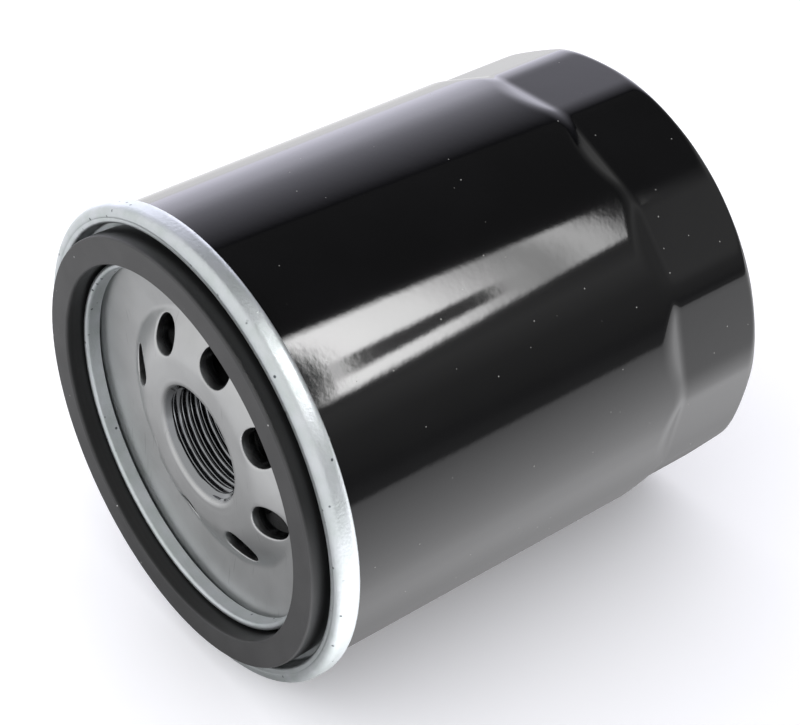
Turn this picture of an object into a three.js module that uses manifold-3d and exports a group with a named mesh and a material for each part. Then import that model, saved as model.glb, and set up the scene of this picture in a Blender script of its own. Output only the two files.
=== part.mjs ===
// Spin-on oil filter, lying on its side.
//
// Units are millimetres, +Z is up. The filter's axis runs along Y: the sealing
// gasket faces -Y and the closed, fluted end faces +Y. Shapes are first made
// with the gasket's sealing face at Y = 0, and the whole group is then moved so
// that the origin lies midway along the filter, on the surface it rests on.

import * as THREE from 'three';
import { mergeVertices } from 'three/addons/utils/BufferGeometryUtils.js';
import Module from 'manifold-3d';

const wasm = await Module();
wasm.setup();

// ---------------------------------------------------------------- dimensions

// Fits
const SEAT = 0.1;               // axial gap between pieces that bear on each other
const CLEARANCE = 0.3;          // radial gap between pieces that slip together
const PAST = 2;                 // how far a punch reaches past a thin wall's outside

// Can
const LENGTH = 88;              // gasket face to closed end
const CAN_R = 38;               // outside radius
const CAN_WALL = 0.6;
const END_ROUND = 3;            // outside radius of the closed end's edge
const DISH_R = 22;              // recess in the middle of the closed end
const DISH_DEPTH = 1.2;
const DISH_SLOPE = 3;           // width of the recess's sloping edge
const FLATS = 14;               // wrench flats around the closed end
const FLAT_LENGTH = 17;         // from the closed end to where a flat starts to run out
const FLAT_RUNOUT = 0.29;       // rise over run of the slope from a flat to the round wall

// Sealing gasket
const GASKET_WIDTH = 4.5;
const GASKET_HEIGHT = 4.9;
const GROOVE_GAP = 1.1;         // open gap between gasket and bead
const GASKET_EDGE = 0.25;       // broken corners

// Seaming lid: rolled bead, gasket groove and folded inner lip
const LID_SHEET = 0.6;
const LID_BEND = 0.8;           // outside radius of the bead's bends
const BEAD_WIDTH = 1.5;         // how far the bead stands out from the can
const BEAD_FRONT = 2.2;         // bead's front, behind the gasket face
const BEAD_DEPTH = 4.0;
const LIP_CREST = 2.8;          // front of the inner lip, behind the gasket face
const LIP_DEPTH = 2.5;
const FLANGE_DEPTH = 2.3;       // bead's front to the can's turned flange

// Base plate
const PLATE_THICK = 2.6;
const PLATE_FRONT = 4.4;        // flat centre, behind the gasket face
const SHOULDER_R = 15.2;        // where the flat centre breaks into a slope
const SLOPE_R = 17.6;           // where the slope steepens
const SLOPE_DROP = 0.8;
const FOOT_R = 21.6;            // crease at the foot; from there the plate rises to its rim
const FOOT_DROP = 3.0;
const THREAD_R = 9.1;           // mean radius of the 3/4-16 thread
const THREAD_CHAMFER = 1.0;
const NECK_WALL = 2.9;
const NECK_LENGTH = 10.6;
const HOLES = 8;
const HOLE_R = 3.25;
const HOLE_SQUEEZE = 0.93;      // the press shortens the holes up the slope
const HOLE_CIRCLE_R = 17.7;
const HOLE_TURN = 28;           // degrees from +X towards +Z to the first hole

// Anti-drainback valve
const COLLAR_WALL = 1.7;
const FLAP_R = 26;
const FLAP_THICK = 1.1;
const FLAP_ARCH = 1;            // how far the flap bows off the plate over the holes
const FLAP_LIP = 1;             // width of the edge that seals on the plate
const FLAP_LIP_THICK = 0.6;
const FLAP_ROOT = 1;            // slope between flap and collar

// Filter element
const OIL_GAP = 4;              // between element and can
const NECK_GAP = 0.6;           // between the neck's end and the element
const CAP_SHEET = 0.5;
const CAP_RIM = 4.4;            // how far an end cap's rim turns over the paper
const POTTING = 1.2;            // adhesive between paper and end cap
const TUBE_LEDGE = 0.9;         // centre tube's outside past the end cap's hole
const TUBE_WALL = 0.5;
const TUBE_HOLE_R = 2.2;
const TUBE_HOLES_AROUND = 6;
const TUBE_HOLE_ROWS = 4;
const PLEATS = 40;
const PAPER = 0.6;
const PLEAT_TIP = 0.7;          // half width of a pleat's outer fold
const PLEAT_ROOT = 0.55;        // half width of a pleat's inner fold
const CLIP_SHEET = 0.4;
const CLIP_DEPTH = 5;

// By-pass valve
const SEAT_HOLE_R = 6;
const CAGE_R = 9.9;
const CAGE_WALL = 0.6;
const CAGE_DEPTH = 13.2;
const CAGE_FLANGE = 2.5;
const CAGE_LIP = 2.5;
const WINDOWS = 6;
const WINDOW_WIDTH = 4;
const WINDOW_HEIGHT = 7;
const POPPET_GAP = 0.9;         // between poppet and cage wall
const POPPET_THICK = 0.8;
const STEM_R = 1.6;
const STEM_PAST = 1.6;          // how far the stem stands out of its guide when shut
const SEAL_THICK = 0.7;
const SEAL_BOSS_R = 2.7;
const GUIDE_THICK = 0.8;
const BYPASS_COIL_R = 6.2;
const BYPASS_WIRE_R = 0.6;
const BYPASS_TURNS = 3.5;

// Element spring
const SPRING_HEIGHT = 16.6;     // from the element to the inside of the closed end
const SPRING_SEAT_GAP = 1.1;    // between the by-pass cage's flange and the spring's seat
const SPRING_WIRE_R = 1.1;
const SPRING_TURNS = 3;
const SPRING_SEAT_SHEET = 0.6;
const SPRING_SEAT_RIM = 2.2;
const SPRING_SEAT_EDGE = 1;     // seat's outside past the coil's

// Facets
const OUTER_SIDES = FLATS * 4;
const INNER_SIDES = 40;
const SMALL_SIDES = 20;
const HOLE_SIDES = 14;
const TUBE_HOLE_SIDES = 6;
const COIL_STEPS = 16;          // steps in one turn of a spring
const WIRE_SIDES = 6;

// ------------------------------------------------------------ derived places

const canInR = CAN_R - CAN_WALL;
const beadR = CAN_R + BEAD_WIDTH;
const beadBack = BEAD_FRONT + BEAD_DEPTH;
const chuckOutR = canInR - 2 * SEAT;
const chuckInR = chuckOutR - LID_SHEET;
const gasketOutR = chuckInR - GROOVE_GAP;
const gasketInR = gasketOutR - GASKET_WIDTH;
const floorFront = GASKET_HEIGHT + 2 * SEAT;
const floorBack = floorFront + LID_SHEET;
const rimFront = floorBack + SEAT;
const rimBack = rimFront + PLATE_THICK;
const outerFront = PLATE_FRONT + FOOT_DROP;
const neckEnd = PLATE_FRONT + NECK_LENGTH;
const neckR = THREAD_R + NECK_WALL;
const elementFront = neckEnd + NECK_GAP;
const elementR = canInR - OIL_GAP;
const endInside = LENGTH - DISH_DEPTH - CAN_WALL;
const elementBack = endInside - SPRING_HEIGHT;
const capHoleR = neckR + 2 * CLEARANCE;
const tubeR = capHoleR + TUBE_LEDGE;
const paperFront = elementFront + CAP_SHEET + POTTING + 2 * SEAT;
const paperBack = elementBack - CAP_SHEET - POTTING - 2 * SEAT;
const pottingInR = tubeR + CLEARANCE;
const pottingOutR = elementR - CAP_SHEET - CLEARANCE;
const cageTop = elementBack + SEAT;
const cageBottom = cageTop - CAGE_DEPTH;
const guideTop = cageBottom + CAGE_WALL + SEAT + GUIDE_THICK;
const sealTop = cageTop - SEAT;
const poppetTop = sealTop - SEAL_THICK - SEAT;
const poppetR = CAGE_R - CAGE_WALL - POPPET_GAP;
const springSeatInR = CAGE_R + CAGE_FLANGE + SPRING_SEAT_GAP;
const springCoilR = springSeatInR + SPRING_SEAT_SHEET + CLEARANCE + SPRING_WIRE_R;
const springSeatTop = elementBack + SEAT + SPRING_SEAT_SHEET;

// Depth of the plate's back between the crease and the rim.
const plateBackAt = (r) => (
  PLATE_THICK + THREE.MathUtils.mapLinear(r, FOOT_R, gasketInR, outerFront, rimFront)
);

// ------------------------------------------------------------------- helpers

const point = (r, y) => new THREE.Vector2(r, y);
const degrees = THREE.MathUtils.degToRad;

// Merges shared vertices and drops the faces that collapse on the axis.
function weld(geometry) {
  const bare = geometry.clone();
  bare.deleteAttribute('normal');
  bare.deleteAttribute('uv');
  const merged = mergeVertices(bare, 1e-5);
  const index = merged.index.array;
  const kept = [];
  for (let i = 0; i < index.length; i += 3) {
    const [a, b, c] = [index[i], index[i + 1], index[i + 2]];
    if (a !== b && b !== c && c !== a) kept.push(a, b, c);
  }
  merged.setIndex(kept);
  return merged;
}

// A turned piece from a closed outline of [radius, y] points. The facets touch
// the true circle, so sizes across flats are the real sizes. With halfStep a
// facet, and not an edge, faces straight down.
function turned(outline, sides, halfStep = false) {
  const points = outline.map(([r, y]) => point(r / Math.cos(Math.PI / sides), y));
  if (THREE.ShapeUtils.area(points) < 0) points.reverse();
  points.push(points[0].clone());
  const geometry = new THREE.LatheGeometry(points, sides);
  if (halfStep) geometry.rotateY(Math.PI / sides);
  return weld(geometry);
}

// Points on a quarter round or part of one, angles in degrees from +radius to +y.
function arc(r, y, radius, from, to, steps) {
  return Array.from({ length: steps + 1 }, (_, i) => {
    const angle = degrees(from + ((to - from) * i) / steps);
    return [r + radius * Math.cos(angle), y + radius * Math.sin(angle)];
  });
}

function toSolid(geometry) {
  const welded = weld(geometry);
  return new wasm.Manifold(new wasm.Mesh({
    numProp: 3,
    vertProperties: new Float32Array(welded.attributes.position.array),
    triVerts: new Uint32Array(welded.index.array),
  }));
}

function toGeometry(solid) {
  const mesh = solid.getMesh();
  const geometry = new THREE.BufferGeometry();
  geometry.setAttribute('position', new THREE.BufferAttribute(new Float32Array(mesh.vertProperties), 3));
  geometry.setIndex(Array.from(mesh.triVerts));
  return geometry;
}

// Cuts every tool from a piece. The tools may overlap the piece but not each other.
function cut(geometry, tools) {
  return toGeometry(tools.reduce((solid, tool) => solid.subtract(toSolid(tool)), toSolid(geometry)));
}

// A round bar along Y whose facets touch the true circle.
function bar(radius, from, to, sides) {
  const r = radius / Math.cos(Math.PI / sides);
  return new THREE.CylinderGeometry(r, r, to - from, sides).translate(0, (from + to) / 2, 0);
}

class Helix extends THREE.Curve {
  constructor(radius, from, to, turns) {
    super();
    Object.assign(this, { radius, from, to, turns });
  }

  getPoint(t, target = new THREE.Vector3()) {
    const angle = 2 * Math.PI * this.turns * t;
    const y = THREE.MathUtils.lerp(this.from, this.to, t);
    return target.set(this.radius * Math.cos(angle), y, this.radius * Math.sin(angle));
  }
}

// A coil spring whose wire just clears the faces at from and to.
function coil(radius, wireR, from, to, turns) {
  const path = new Helix(radius, from + wireR + SEAT, to - wireR - SEAT, turns);
  const section = new THREE.Shape(Array.from({ length: WIRE_SIDES }, (_, i) => {
    const angle = (2 * Math.PI * i) / WIRE_SIDES;
    return point(wireR * Math.cos(angle), wireR * Math.sin(angle));
  }));
  const steps = Math.round(turns * COIL_STEPS);
  return weld(new THREE.ExtrudeGeometry(section, { extrudePath: path, steps, bevelEnabled: false }));
}

const filter = new THREE.Group();

function add(name, geometry, color, roughness, metalness) {
  const material = new THREE.MeshStandardMaterial({ color, roughness, metalness });
  const mesh = new THREE.Mesh(geometry, material);
  mesh.name = name;
  filter.add(mesh);
}

// ----------------------------------------------------------------------- can

const flatStart = LENGTH - FLAT_LENGTH;
const flatR = CAN_R * Math.cos(Math.PI / FLATS);
const cornerR = CAN_R / Math.cos(Math.PI / OUTER_SIDES);
const runoutStart = flatStart - (cornerR - flatR) / FLAT_RUNOUT;

// How far the wall is pressed in, at an angle around the axis and a height.
function pressedIn(angle, y) {
  const step = (2 * Math.PI) / FLATS;
  const offCentre = ((angle % step) + step) % step - step / 2;
  const flat = flatR / Math.cos(offCentre) + Math.max(0, flatStart - y) * FLAT_RUNOUT;
  return Math.max(0, cornerR - flat);
}

// Whether a point of the shell lies on its outer face.
function onOutside(r, y) {
  const out = Math.max(r - (CAN_R - END_ROUND), 0);
  const up = Math.max(y - (LENGTH - END_ROUND), 0);
  return Math.hypot(out, up) > END_ROUND - CAN_WALL / 2;
}

// Presses the wrench flats into a round shell. What lies inside a flat already,
// such as the round at the closed end's edge, stays as it is.
function pressFlats(geometry) {
  const position = geometry.attributes.position;
  for (let i = 0; i < position.count; i += 1) {
    const [x, y, z] = [position.getX(i), position.getY(i), position.getZ(i)];
    const r = Math.hypot(x, z);
    const pressed = pressedIn(Math.atan2(z, x), y);
    const limit = cornerR - pressed - (onOutside(r, y) ? 0 : CAN_WALL);
    if (pressed > 0 && r > limit) {
      position.setX(i, (x * limit) / r);
      position.setZ(i, (z * limit) / r);
    }
  }
  return geometry;
}

function canGeometry() {
  const lipFront = BEAD_FRONT + FLANGE_DEPTH;
  const flangeR = beadR - LID_SHEET - 2 * SEAT;
  const wallRows = [runoutStart - 2, runoutStart, (runoutStart + flatStart) / 2, flatStart];
  const insideRound = END_ROUND - CAN_WALL;
  const inside = LENGTH - CAN_WALL;
  return pressFlats(turned([
    [0, LENGTH - DISH_DEPTH],
    [0, endInside],
    [DISH_R, endInside],
    [DISH_R + DISH_SLOPE, inside],
    ...arc(CAN_R - END_ROUND, inside - insideRound, insideRound, 90, 0, 2),
    ...wallRows.map((y) => [canInR, y]).reverse(),
    [canInR, lipFront],
    [flangeR, lipFront],
    [flangeR, lipFront + CAN_WALL],
    [CAN_R, lipFront + CAN_WALL],
    ...wallRows.map((y) => [CAN_R, y]),
    ...arc(CAN_R - END_ROUND, LENGTH - END_ROUND, END_ROUND, 0, 90, 3),
    [DISH_R + DISH_SLOPE, LENGTH],
    [DISH_R, LENGTH - DISH_DEPTH],
  ], OUTER_SIDES));
}

// -------------------------------------------------- seaming lid and its seam

function lidGeometry() {
  const lipOutR = gasketInR - CLEARANCE - SEAT;
  const lipInR = lipOutR - 2 * LID_SHEET;
  const hookR = CAN_R + CLEARANCE;
  const innerBend = LID_BEND - LID_SHEET;
  return turned([
    [hookR, beadBack],
    ...arc(beadR - LID_BEND, beadBack - LID_BEND, LID_BEND, 90, 0, 1),
    ...arc(beadR - LID_BEND, BEAD_FRONT + LID_BEND, LID_BEND, 0, -90, 2),
    ...arc(chuckInR + LID_BEND, BEAD_FRONT + LID_BEND, LID_BEND, -90, -180, 2),
    [chuckInR, floorFront],
    [lipOutR, floorFront],
    ...arc(lipOutR - LID_SHEET, LIP_CREST + LID_SHEET, LID_SHEET, 0, -180, 3),
    [lipInR, LIP_CREST + LIP_DEPTH],
    [lipOutR - LID_SHEET, floorBack],
    [chuckOutR, floorBack],
    ...arc(chuckInR + LID_BEND, BEAD_FRONT + LID_BEND, innerBend, -180, -90, 1),
    ...arc(beadR - LID_BEND, BEAD_FRONT + LID_BEND, innerBend, -90, 0, 1),
    ...arc(beadR - LID_BEND, beadBack - LID_BEND, innerBend, 0, 90, 1),
    [hookR, beadBack - LID_SHEET],
  ], OUTER_SIDES, true);
}

function compoundGeometry() {
  const from = BEAD_FRONT + LID_SHEET + CLEARANCE;
  const to = BEAD_FRONT + FLANGE_DEPTH - CLEARANCE;
  return turned([
    [canInR + CLEARANCE, from],
    [beadR - LID_SHEET - CLEARANCE, from],
    [beadR - LID_SHEET - CLEARANCE, to],
    [canInR + CLEARANCE, to],
  ], OUTER_SIDES, true);
}

function gasketGeometry() {
  return turned([
    [gasketInR, GASKET_EDGE],
    [gasketInR + GASKET_EDGE, 0],
    [gasketOutR - GASKET_EDGE, 0],
    [gasketOutR, GASKET_EDGE],
    [gasketOutR, GASKET_HEIGHT],
    [gasketInR, GASKET_HEIGHT],
  ], OUTER_SIDES, true);
}

// ---------------------------------------------------------------- base plate

// Centres of a ring of places, from +X towards +Z, in degrees.
function ring(count, radius, turn) {
  return Array.from({ length: count }, (_, i) => {
    const angle = degrees(turn + (360 * i) / count);
    return { angle, x: radius * Math.cos(angle), z: radius * Math.sin(angle) };
  });
}

function basePlateGeometry() {
  const rimR = canInR - CLEARANCE - SEAT;
  const disc = turned([
    [THREAD_R, PLATE_FRONT + THREAD_CHAMFER],
    [THREAD_R + THREAD_CHAMFER, PLATE_FRONT],
    [SHOULDER_R, PLATE_FRONT],
    [SLOPE_R, PLATE_FRONT + SLOPE_DROP],
    [FOOT_R, outerFront],
    [gasketInR, rimFront],
    [rimR, rimFront],
    [rimR, rimBack],
    [gasketInR, rimBack],
    [FOOT_R, outerFront + PLATE_THICK],
    [SLOPE_R, PLATE_FRONT + SLOPE_DROP + PLATE_THICK],
    [SHOULDER_R, PLATE_FRONT + PLATE_THICK],
    [neckR, PLATE_FRONT + PLATE_THICK],
    [neckR, neckEnd],
    [THREAD_R, neckEnd],
  ], INNER_SIDES);
  const holes = ring(HOLES, HOLE_CIRCLE_R, HOLE_TURN).map(({ angle, x, z }) => (
    bar(HOLE_R, 0, neckEnd, HOLE_SIDES)
      .scale(HOLE_SQUEEZE, 1, 1)
      .rotateY(-angle)
      .translate(x, 0, z)
  ));
  return cut(disc, holes);
}

// A collar that grips the neck, and a flap that lies on the plate's back.
function drainbackGeometry() {
  const collarInR = neckR + CLEARANCE;
  const collarR = collarInR + COLLAR_WALL;
  const plateBack = outerFront + PLATE_THICK;
  const lipR = FLAP_R - FLAP_LIP;
  const lipFront = plateBackAt(lipR) + SEAT;
  const edgeFront = plateBackAt(FLAP_R) + SEAT;
  const collarFront = PLATE_FRONT + PLATE_THICK + CLEARANCE;
  const collarEnd = elementFront - 2 * SEAT;
  const bendR = HOLE_CIRCLE_R + HOLE_R - FLAP_LIP;
  const flapBack = plateBack + FLAP_ARCH + FLAP_THICK;
  return turned([
    [collarInR, collarFront],
    [collarR - 2 * CLEARANCE, collarFront],
    [collarR, plateBack + FLAP_ARCH / 2],
    [bendR, plateBack + FLAP_ARCH],
    [lipR, lipFront],
    [FLAP_R, edgeFront],
    [FLAP_R, edgeFront + FLAP_LIP_THICK],
    [bendR, flapBack],
    [collarR + FLAP_ROOT, flapBack],
    [collarR, flapBack + FLAP_ROOT],
    [collarR, collarEnd],
    [collarInR, collarEnd],
  ], INNER_SIDES);
}

// ------------------------------------------------------------ filter element

// A pressed end cap: a disc with a hole and a rim that turns over the paper.
// side is +1 where the rim turns towards +Y, and -1 where it turns back.
function endCapGeometry(face, side, holeR) {
  const at = (depth) => face + side * depth;
  return turned([
    [holeR, at(0)],
    [elementR - CAP_SHEET, at(0)],
    [elementR, at(CAP_SHEET)],
    [elementR, at(CAP_RIM)],
    [elementR - CAP_SHEET, at(CAP_RIM)],
    [elementR - CAP_SHEET, at(CAP_SHEET)],
    [holeR, at(CAP_SHEET)],
  ], INNER_SIDES);
}

function pottingGeometry(from, to) {
  return turned([[pottingInR, from], [pottingOutR, from], [pottingOutR, to], [pottingInR, to]], INNER_SIDES);
}

const pleatOutR = pottingOutR - CLEARANCE - PAPER / 2;
const pleatInR = pottingInR + CLEARANCE + PAPER / 2;

// One face of the pleated paper: side is +1 for the outer face, -1 for the inner.
function pleatOutline(side) {
  const half = (side * PAPER) / 2;
  const outline = [];
  for (let i = 0; i < PLEATS; i += 1) {
    const middle = (2 * Math.PI * i) / PLEATS;
    const valley = middle + Math.PI / PLEATS;
    const tip = (PLEAT_TIP + half) / pleatOutR;
    const root = (PLEAT_ROOT - half) / pleatInR;
    const corners = [
      [pleatOutR + half, middle - tip],
      [pleatOutR + half, middle + tip],
      [pleatInR + half, valley - root],
      [pleatInR + half, valley + root],
    ];
    corners.forEach(([r, angle]) => outline.push(point(r * Math.cos(angle), r * Math.sin(angle))));
  }
  return outline;
}

// Extrudes a flat outline, drawn in X and Z, from one height to another.
function raised(shape, from, to) {
  return new THREE.ExtrudeGeometry(shape, { depth: to - from, bevelEnabled: false })
    .rotateX(Math.PI / 2)
    .translate(0, to, 0);
}

function paperGeometry() {
  const shape = new THREE.Shape(pleatOutline(1));
  shape.holes.push(new THREE.Path(pleatOutline(-1)));
  return weld(raised(shape, paperFront, paperBack));
}

// A folded strip that pinches the paper's two ends together, over one pleat.
function clipGeometry() {
  const inside = PLEAT_TIP + PAPER / 2 + CLEARANCE;
  const outside = inside + CLIP_SHEET;
  const faceR = pleatOutR + PAPER / 2 + SEAT;
  const shape = new THREE.Shape([
    point(faceR, -inside),
    point(faceR - CLIP_DEPTH, -inside),
    point(faceR - CLIP_DEPTH, -outside),
    point(faceR + CLIP_SHEET, -outside),
    point(faceR + CLIP_SHEET, outside),
    point(faceR - CLIP_DEPTH, outside),
    point(faceR - CLIP_DEPTH, inside),
    point(faceR, inside),
  ]);
  const from = elementFront + CAP_RIM + CLEARANCE;
  const to = elementBack - CAP_RIM - CLEARANCE;
  return weld(raised(shape, from, to));
}

function centreTubeGeometry() {
  const from = elementFront + CAP_SHEET + SEAT;
  const to = elementBack - CAP_SHEET - SEAT;
  const inR = tubeR - TUBE_WALL;
  const tube = turned([[inR, from], [tubeR, from], [tubeR, to], [inR, to]], INNER_SIDES);
  const pitch = (to - from) / (TUBE_HOLE_ROWS + 0.5);
  const punches = [];
  for (let row = 0; row < TUBE_HOLE_ROWS; row += 1) {
    const y = from + pitch * (row + 0.75);
    const turn = row % 2 ? 180 / TUBE_HOLES_AROUND : 0;
    ring(TUBE_HOLES_AROUND, tubeR, turn).forEach(({ angle, x, z }) => {
      punches.push(bar(TUBE_HOLE_R, -PAST, PAST, TUBE_HOLE_SIDES)
        .rotateZ(Math.PI / 2)
        .rotateY(-angle)
        .translate(x, y, z));
    });
  }
  return cut(tube, punches);
}

// ------------------------------------------------------------- by-pass valve

// A windowed cup that hangs through the upper end cap. Its top is the seat.
function cageGeometry() {
  const inR = CAGE_R - CAGE_WALL;
  const cup = turned([
    [SEAT_HOLE_R, cageTop],
    [CAGE_R, cageTop],
    [CAGE_R + CAGE_FLANGE, cageTop],
    [CAGE_R + CAGE_FLANGE, cageTop + CAGE_WALL],
    [SEAT_HOLE_R, cageTop + CAGE_WALL],
  ], SMALL_SIDES);
  const wall = turned([
    [inR - CAGE_LIP + CAGE_WALL, cageBottom],
    [CAGE_R, cageBottom],
    [CAGE_R, cageTop + CAGE_WALL / 2],
    [inR, cageTop + CAGE_WALL / 2],
    [inR, cageBottom + CAGE_WALL],
    [inR - CAGE_LIP + CAGE_WALL, cageBottom + CAGE_WALL],
  ], SMALL_SIDES);
  const middle = (guideTop + poppetTop - POPPET_THICK) / 2;
  const windows = ring(WINDOWS, CAGE_R, 0).map(({ angle, x, z }) => (
    new THREE.BoxGeometry(2 * PAST, WINDOW_HEIGHT, WINDOW_WIDTH)
      .rotateY(-angle)
      .translate(x, middle, z)
  ));
  return cut(toGeometry(toSolid(cup).add(toSolid(wall))), windows);
}

// A washer that carries the spring and guides the poppet's stem.
function guideGeometry() {
  const outR = CAGE_R - CAGE_WALL - CLEARANCE;
  const inR = STEM_R + CLEARANCE;
  const from = guideTop - GUIDE_THICK;
  return turned([[inR, from], [outR, from], [outR, guideTop], [inR, guideTop]], SMALL_SIDES);
}

function poppetGeometry() {
  const stemEnd = cageBottom - STEM_PAST;
  const discBottom = poppetTop - POPPET_THICK;
  const bossTop = sealTop - SEAT;
  return turned([
    [0, stemEnd],
    [STEM_R, stemEnd],
    [STEM_R, discBottom],
    [poppetR, discBottom],
    [poppetR, poppetTop],
    [SEAL_BOSS_R, poppetTop],
    [SEAL_BOSS_R, bossTop],
    [0, bossTop],
  ], SMALL_SIDES);
}

function sealGeometry() {
  const inR = SEAL_BOSS_R + CLEARANCE;
  const outR = poppetR - CLEARANCE;
  const from = sealTop - SEAL_THICK;
  return turned([[inR, from], [outR, from], [outR, sealTop], [inR, sealTop]], SMALL_SIDES);
}

// ------------------------------------------------------------ element spring

// A pressed ring on the upper end cap whose inner rim centres the spring.
function springSeatGeometry() {
  const inR = springSeatInR;
  const outR = springCoilR + SPRING_WIRE_R + SPRING_SEAT_EDGE;
  const from = elementBack + SEAT;
  return turned([
    [inR, from],
    [outR, from],
    [outR, springSeatTop],
    [inR + SPRING_SEAT_SHEET, springSeatTop],
    [inR + SPRING_SEAT_SHEET, from + SPRING_SEAT_RIM],
    [inR, from + SPRING_SEAT_RIM],
  ], INNER_SIDES);
}

// ------------------------------------------------------------------ assembly

const GLOSS_BLACK = 0x0a0a0b;
const ZINC = 0xb9c1c6;
const STEEL = 0x8f9296;
const RUBBER = 0x242424;
const PLASTISOL = 0xa9774a;
const PAPER_TAN = 0xc9a45c;
const SPRING_STEEL = 0x5b5f66;

add('can', canGeometry(), GLOSS_BLACK, 0.15, 0.0);
add('seaming_lid', lidGeometry(), ZINC, 0.35, 1.0);
add('seam_compound', compoundGeometry(), 0x6d6a55, 0.7, 0.0);
add('gasket', gasketGeometry(), 0x4a4a4a, 0.75, 0.0);
add('base_plate', basePlateGeometry(), STEEL, 0.4, 1.0);
add('anti_drainback_valve', drainbackGeometry(), RUBBER, 0.45, 0.0);

add('lower_end_cap', endCapGeometry(elementFront, 1, capHoleR), STEEL, 0.4, 1.0);
add('lower_potting', pottingGeometry(elementFront + CAP_SHEET + SEAT, paperFront - SEAT),
  PLASTISOL, 0.5, 0.0);
add('pleated_media', paperGeometry(), PAPER_TAN, 0.9, 0.0);
add('media_clip', clipGeometry(), ZINC, 0.4, 1.0);
add('centre_tube', centreTubeGeometry(), ZINC, 0.4, 1.0);
add('upper_potting', pottingGeometry(paperBack + SEAT, elementBack - CAP_SHEET - SEAT),
  PLASTISOL, 0.5, 0.0);
add('upper_end_cap', endCapGeometry(elementBack, -1, CAGE_R + CLEARANCE), STEEL, 0.4, 1.0);

add('bypass_cage', cageGeometry(), STEEL, 0.4, 1.0);
add('bypass_guide', guideGeometry(), STEEL, 0.4, 1.0);
add('bypass_spring', coil(BYPASS_COIL_R, BYPASS_WIRE_R, guideTop, poppetTop - POPPET_THICK, BYPASS_TURNS),
  SPRING_STEEL, 0.35, 1.0);
add('bypass_poppet', poppetGeometry(), ZINC, 0.35, 1.0);
add('bypass_seal', sealGeometry(), RUBBER, 0.6, 0.0);

add('element_spring_seat', springSeatGeometry(), ZINC, 0.4, 1.0);
add('element_spring', coil(springCoilR, SPRING_WIRE_R, springSeatTop, endInside, SPRING_TURNS),
  SPRING_STEEL, 0.35, 1.0);

// The filter rests on its bead.
filter.position.set(0, -LENGTH / 2, beadR);

export default filter;
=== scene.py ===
"""Spin-on oil filter, lying on its side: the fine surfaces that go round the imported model.

Pieces are drawn in millimetres, with X the distance from the filter's axis and Y
the depth behind the gasket's sealing face. Each is then placed in the frame, in metres.
"""

import math
from types import SimpleNamespace

import bmesh
import bpy
from bpy.props import (FloatProperty, FloatVectorProperty, IntProperty, PointerProperty)
from mathutils import Matrix, Vector


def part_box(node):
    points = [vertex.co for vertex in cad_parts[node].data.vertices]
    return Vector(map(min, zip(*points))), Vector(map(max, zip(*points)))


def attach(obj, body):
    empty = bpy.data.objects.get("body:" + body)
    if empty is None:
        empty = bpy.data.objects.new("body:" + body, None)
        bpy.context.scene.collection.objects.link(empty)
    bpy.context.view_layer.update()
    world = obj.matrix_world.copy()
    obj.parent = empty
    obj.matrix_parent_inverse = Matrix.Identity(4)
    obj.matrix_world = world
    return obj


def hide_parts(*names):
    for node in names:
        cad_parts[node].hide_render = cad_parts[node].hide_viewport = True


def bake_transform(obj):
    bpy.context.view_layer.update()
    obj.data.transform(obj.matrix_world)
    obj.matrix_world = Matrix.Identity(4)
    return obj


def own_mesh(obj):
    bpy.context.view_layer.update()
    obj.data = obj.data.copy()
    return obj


bl_info = {
    "name": "Spin-on oil filter",
    "version": (1, 0, 0),
    "blender": (4, 5, 0),
    "location": "3D View > Sidebar > Oil filter",
    "description": "Makes a spin-on oil filter, piece by piece, and a studio to show it in",
    "category": "Add Mesh",
}

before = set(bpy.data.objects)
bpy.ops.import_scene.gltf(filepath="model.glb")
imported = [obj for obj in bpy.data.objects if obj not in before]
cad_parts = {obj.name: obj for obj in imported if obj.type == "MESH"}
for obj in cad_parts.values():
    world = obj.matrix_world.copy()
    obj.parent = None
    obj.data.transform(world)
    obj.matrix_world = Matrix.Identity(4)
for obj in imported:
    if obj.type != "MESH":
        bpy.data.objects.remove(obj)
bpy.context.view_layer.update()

MM = 0.001
TINY = 1e-4
FACE_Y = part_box("gasket")[0].y
AXIS_Z = (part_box("seaming_lid")[0].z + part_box("seaming_lid")[1].z) / 2
TO_FRAME = Matrix.Translation((0, FACE_Y, AXIS_Z)) @ Matrix.Scale(MM, 4)


def depths(node):
    """How far a CAD node's front and back lie behind the sealing face, in millimetres."""
    low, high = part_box(node)
    return (low.y - FACE_Y) / MM, (high.y - FACE_Y) / MM


# ------------------------------------------------------------------ settings


def length(name, description, value):
    return FloatProperty(
        name=name, description=description, default=value * MM, min=0, precision=5, unit="LENGTH"
    )


def angle(name, description, value):
    return FloatProperty(
        name=name, description=description, default=math.radians(value), subtype="ANGLE",
    )


def linear(hex_colour):
    """A colour written as sRGB hex, as the linear values that shaders take."""
    parts = [int(hex_colour[i : i + 2], 16) / 255 for i in (1, 3, 5)]
    return [c / 12.92 if c <= 0.04045 else ((c + 0.055) / 1.055) ** 2.4 for c in parts]


def colour(name, description, hex_colour):
    return FloatVectorProperty(
        name=name, description=description, default=linear(hex_colour), subtype="COLOR", min=0, max=1,
    )


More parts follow.
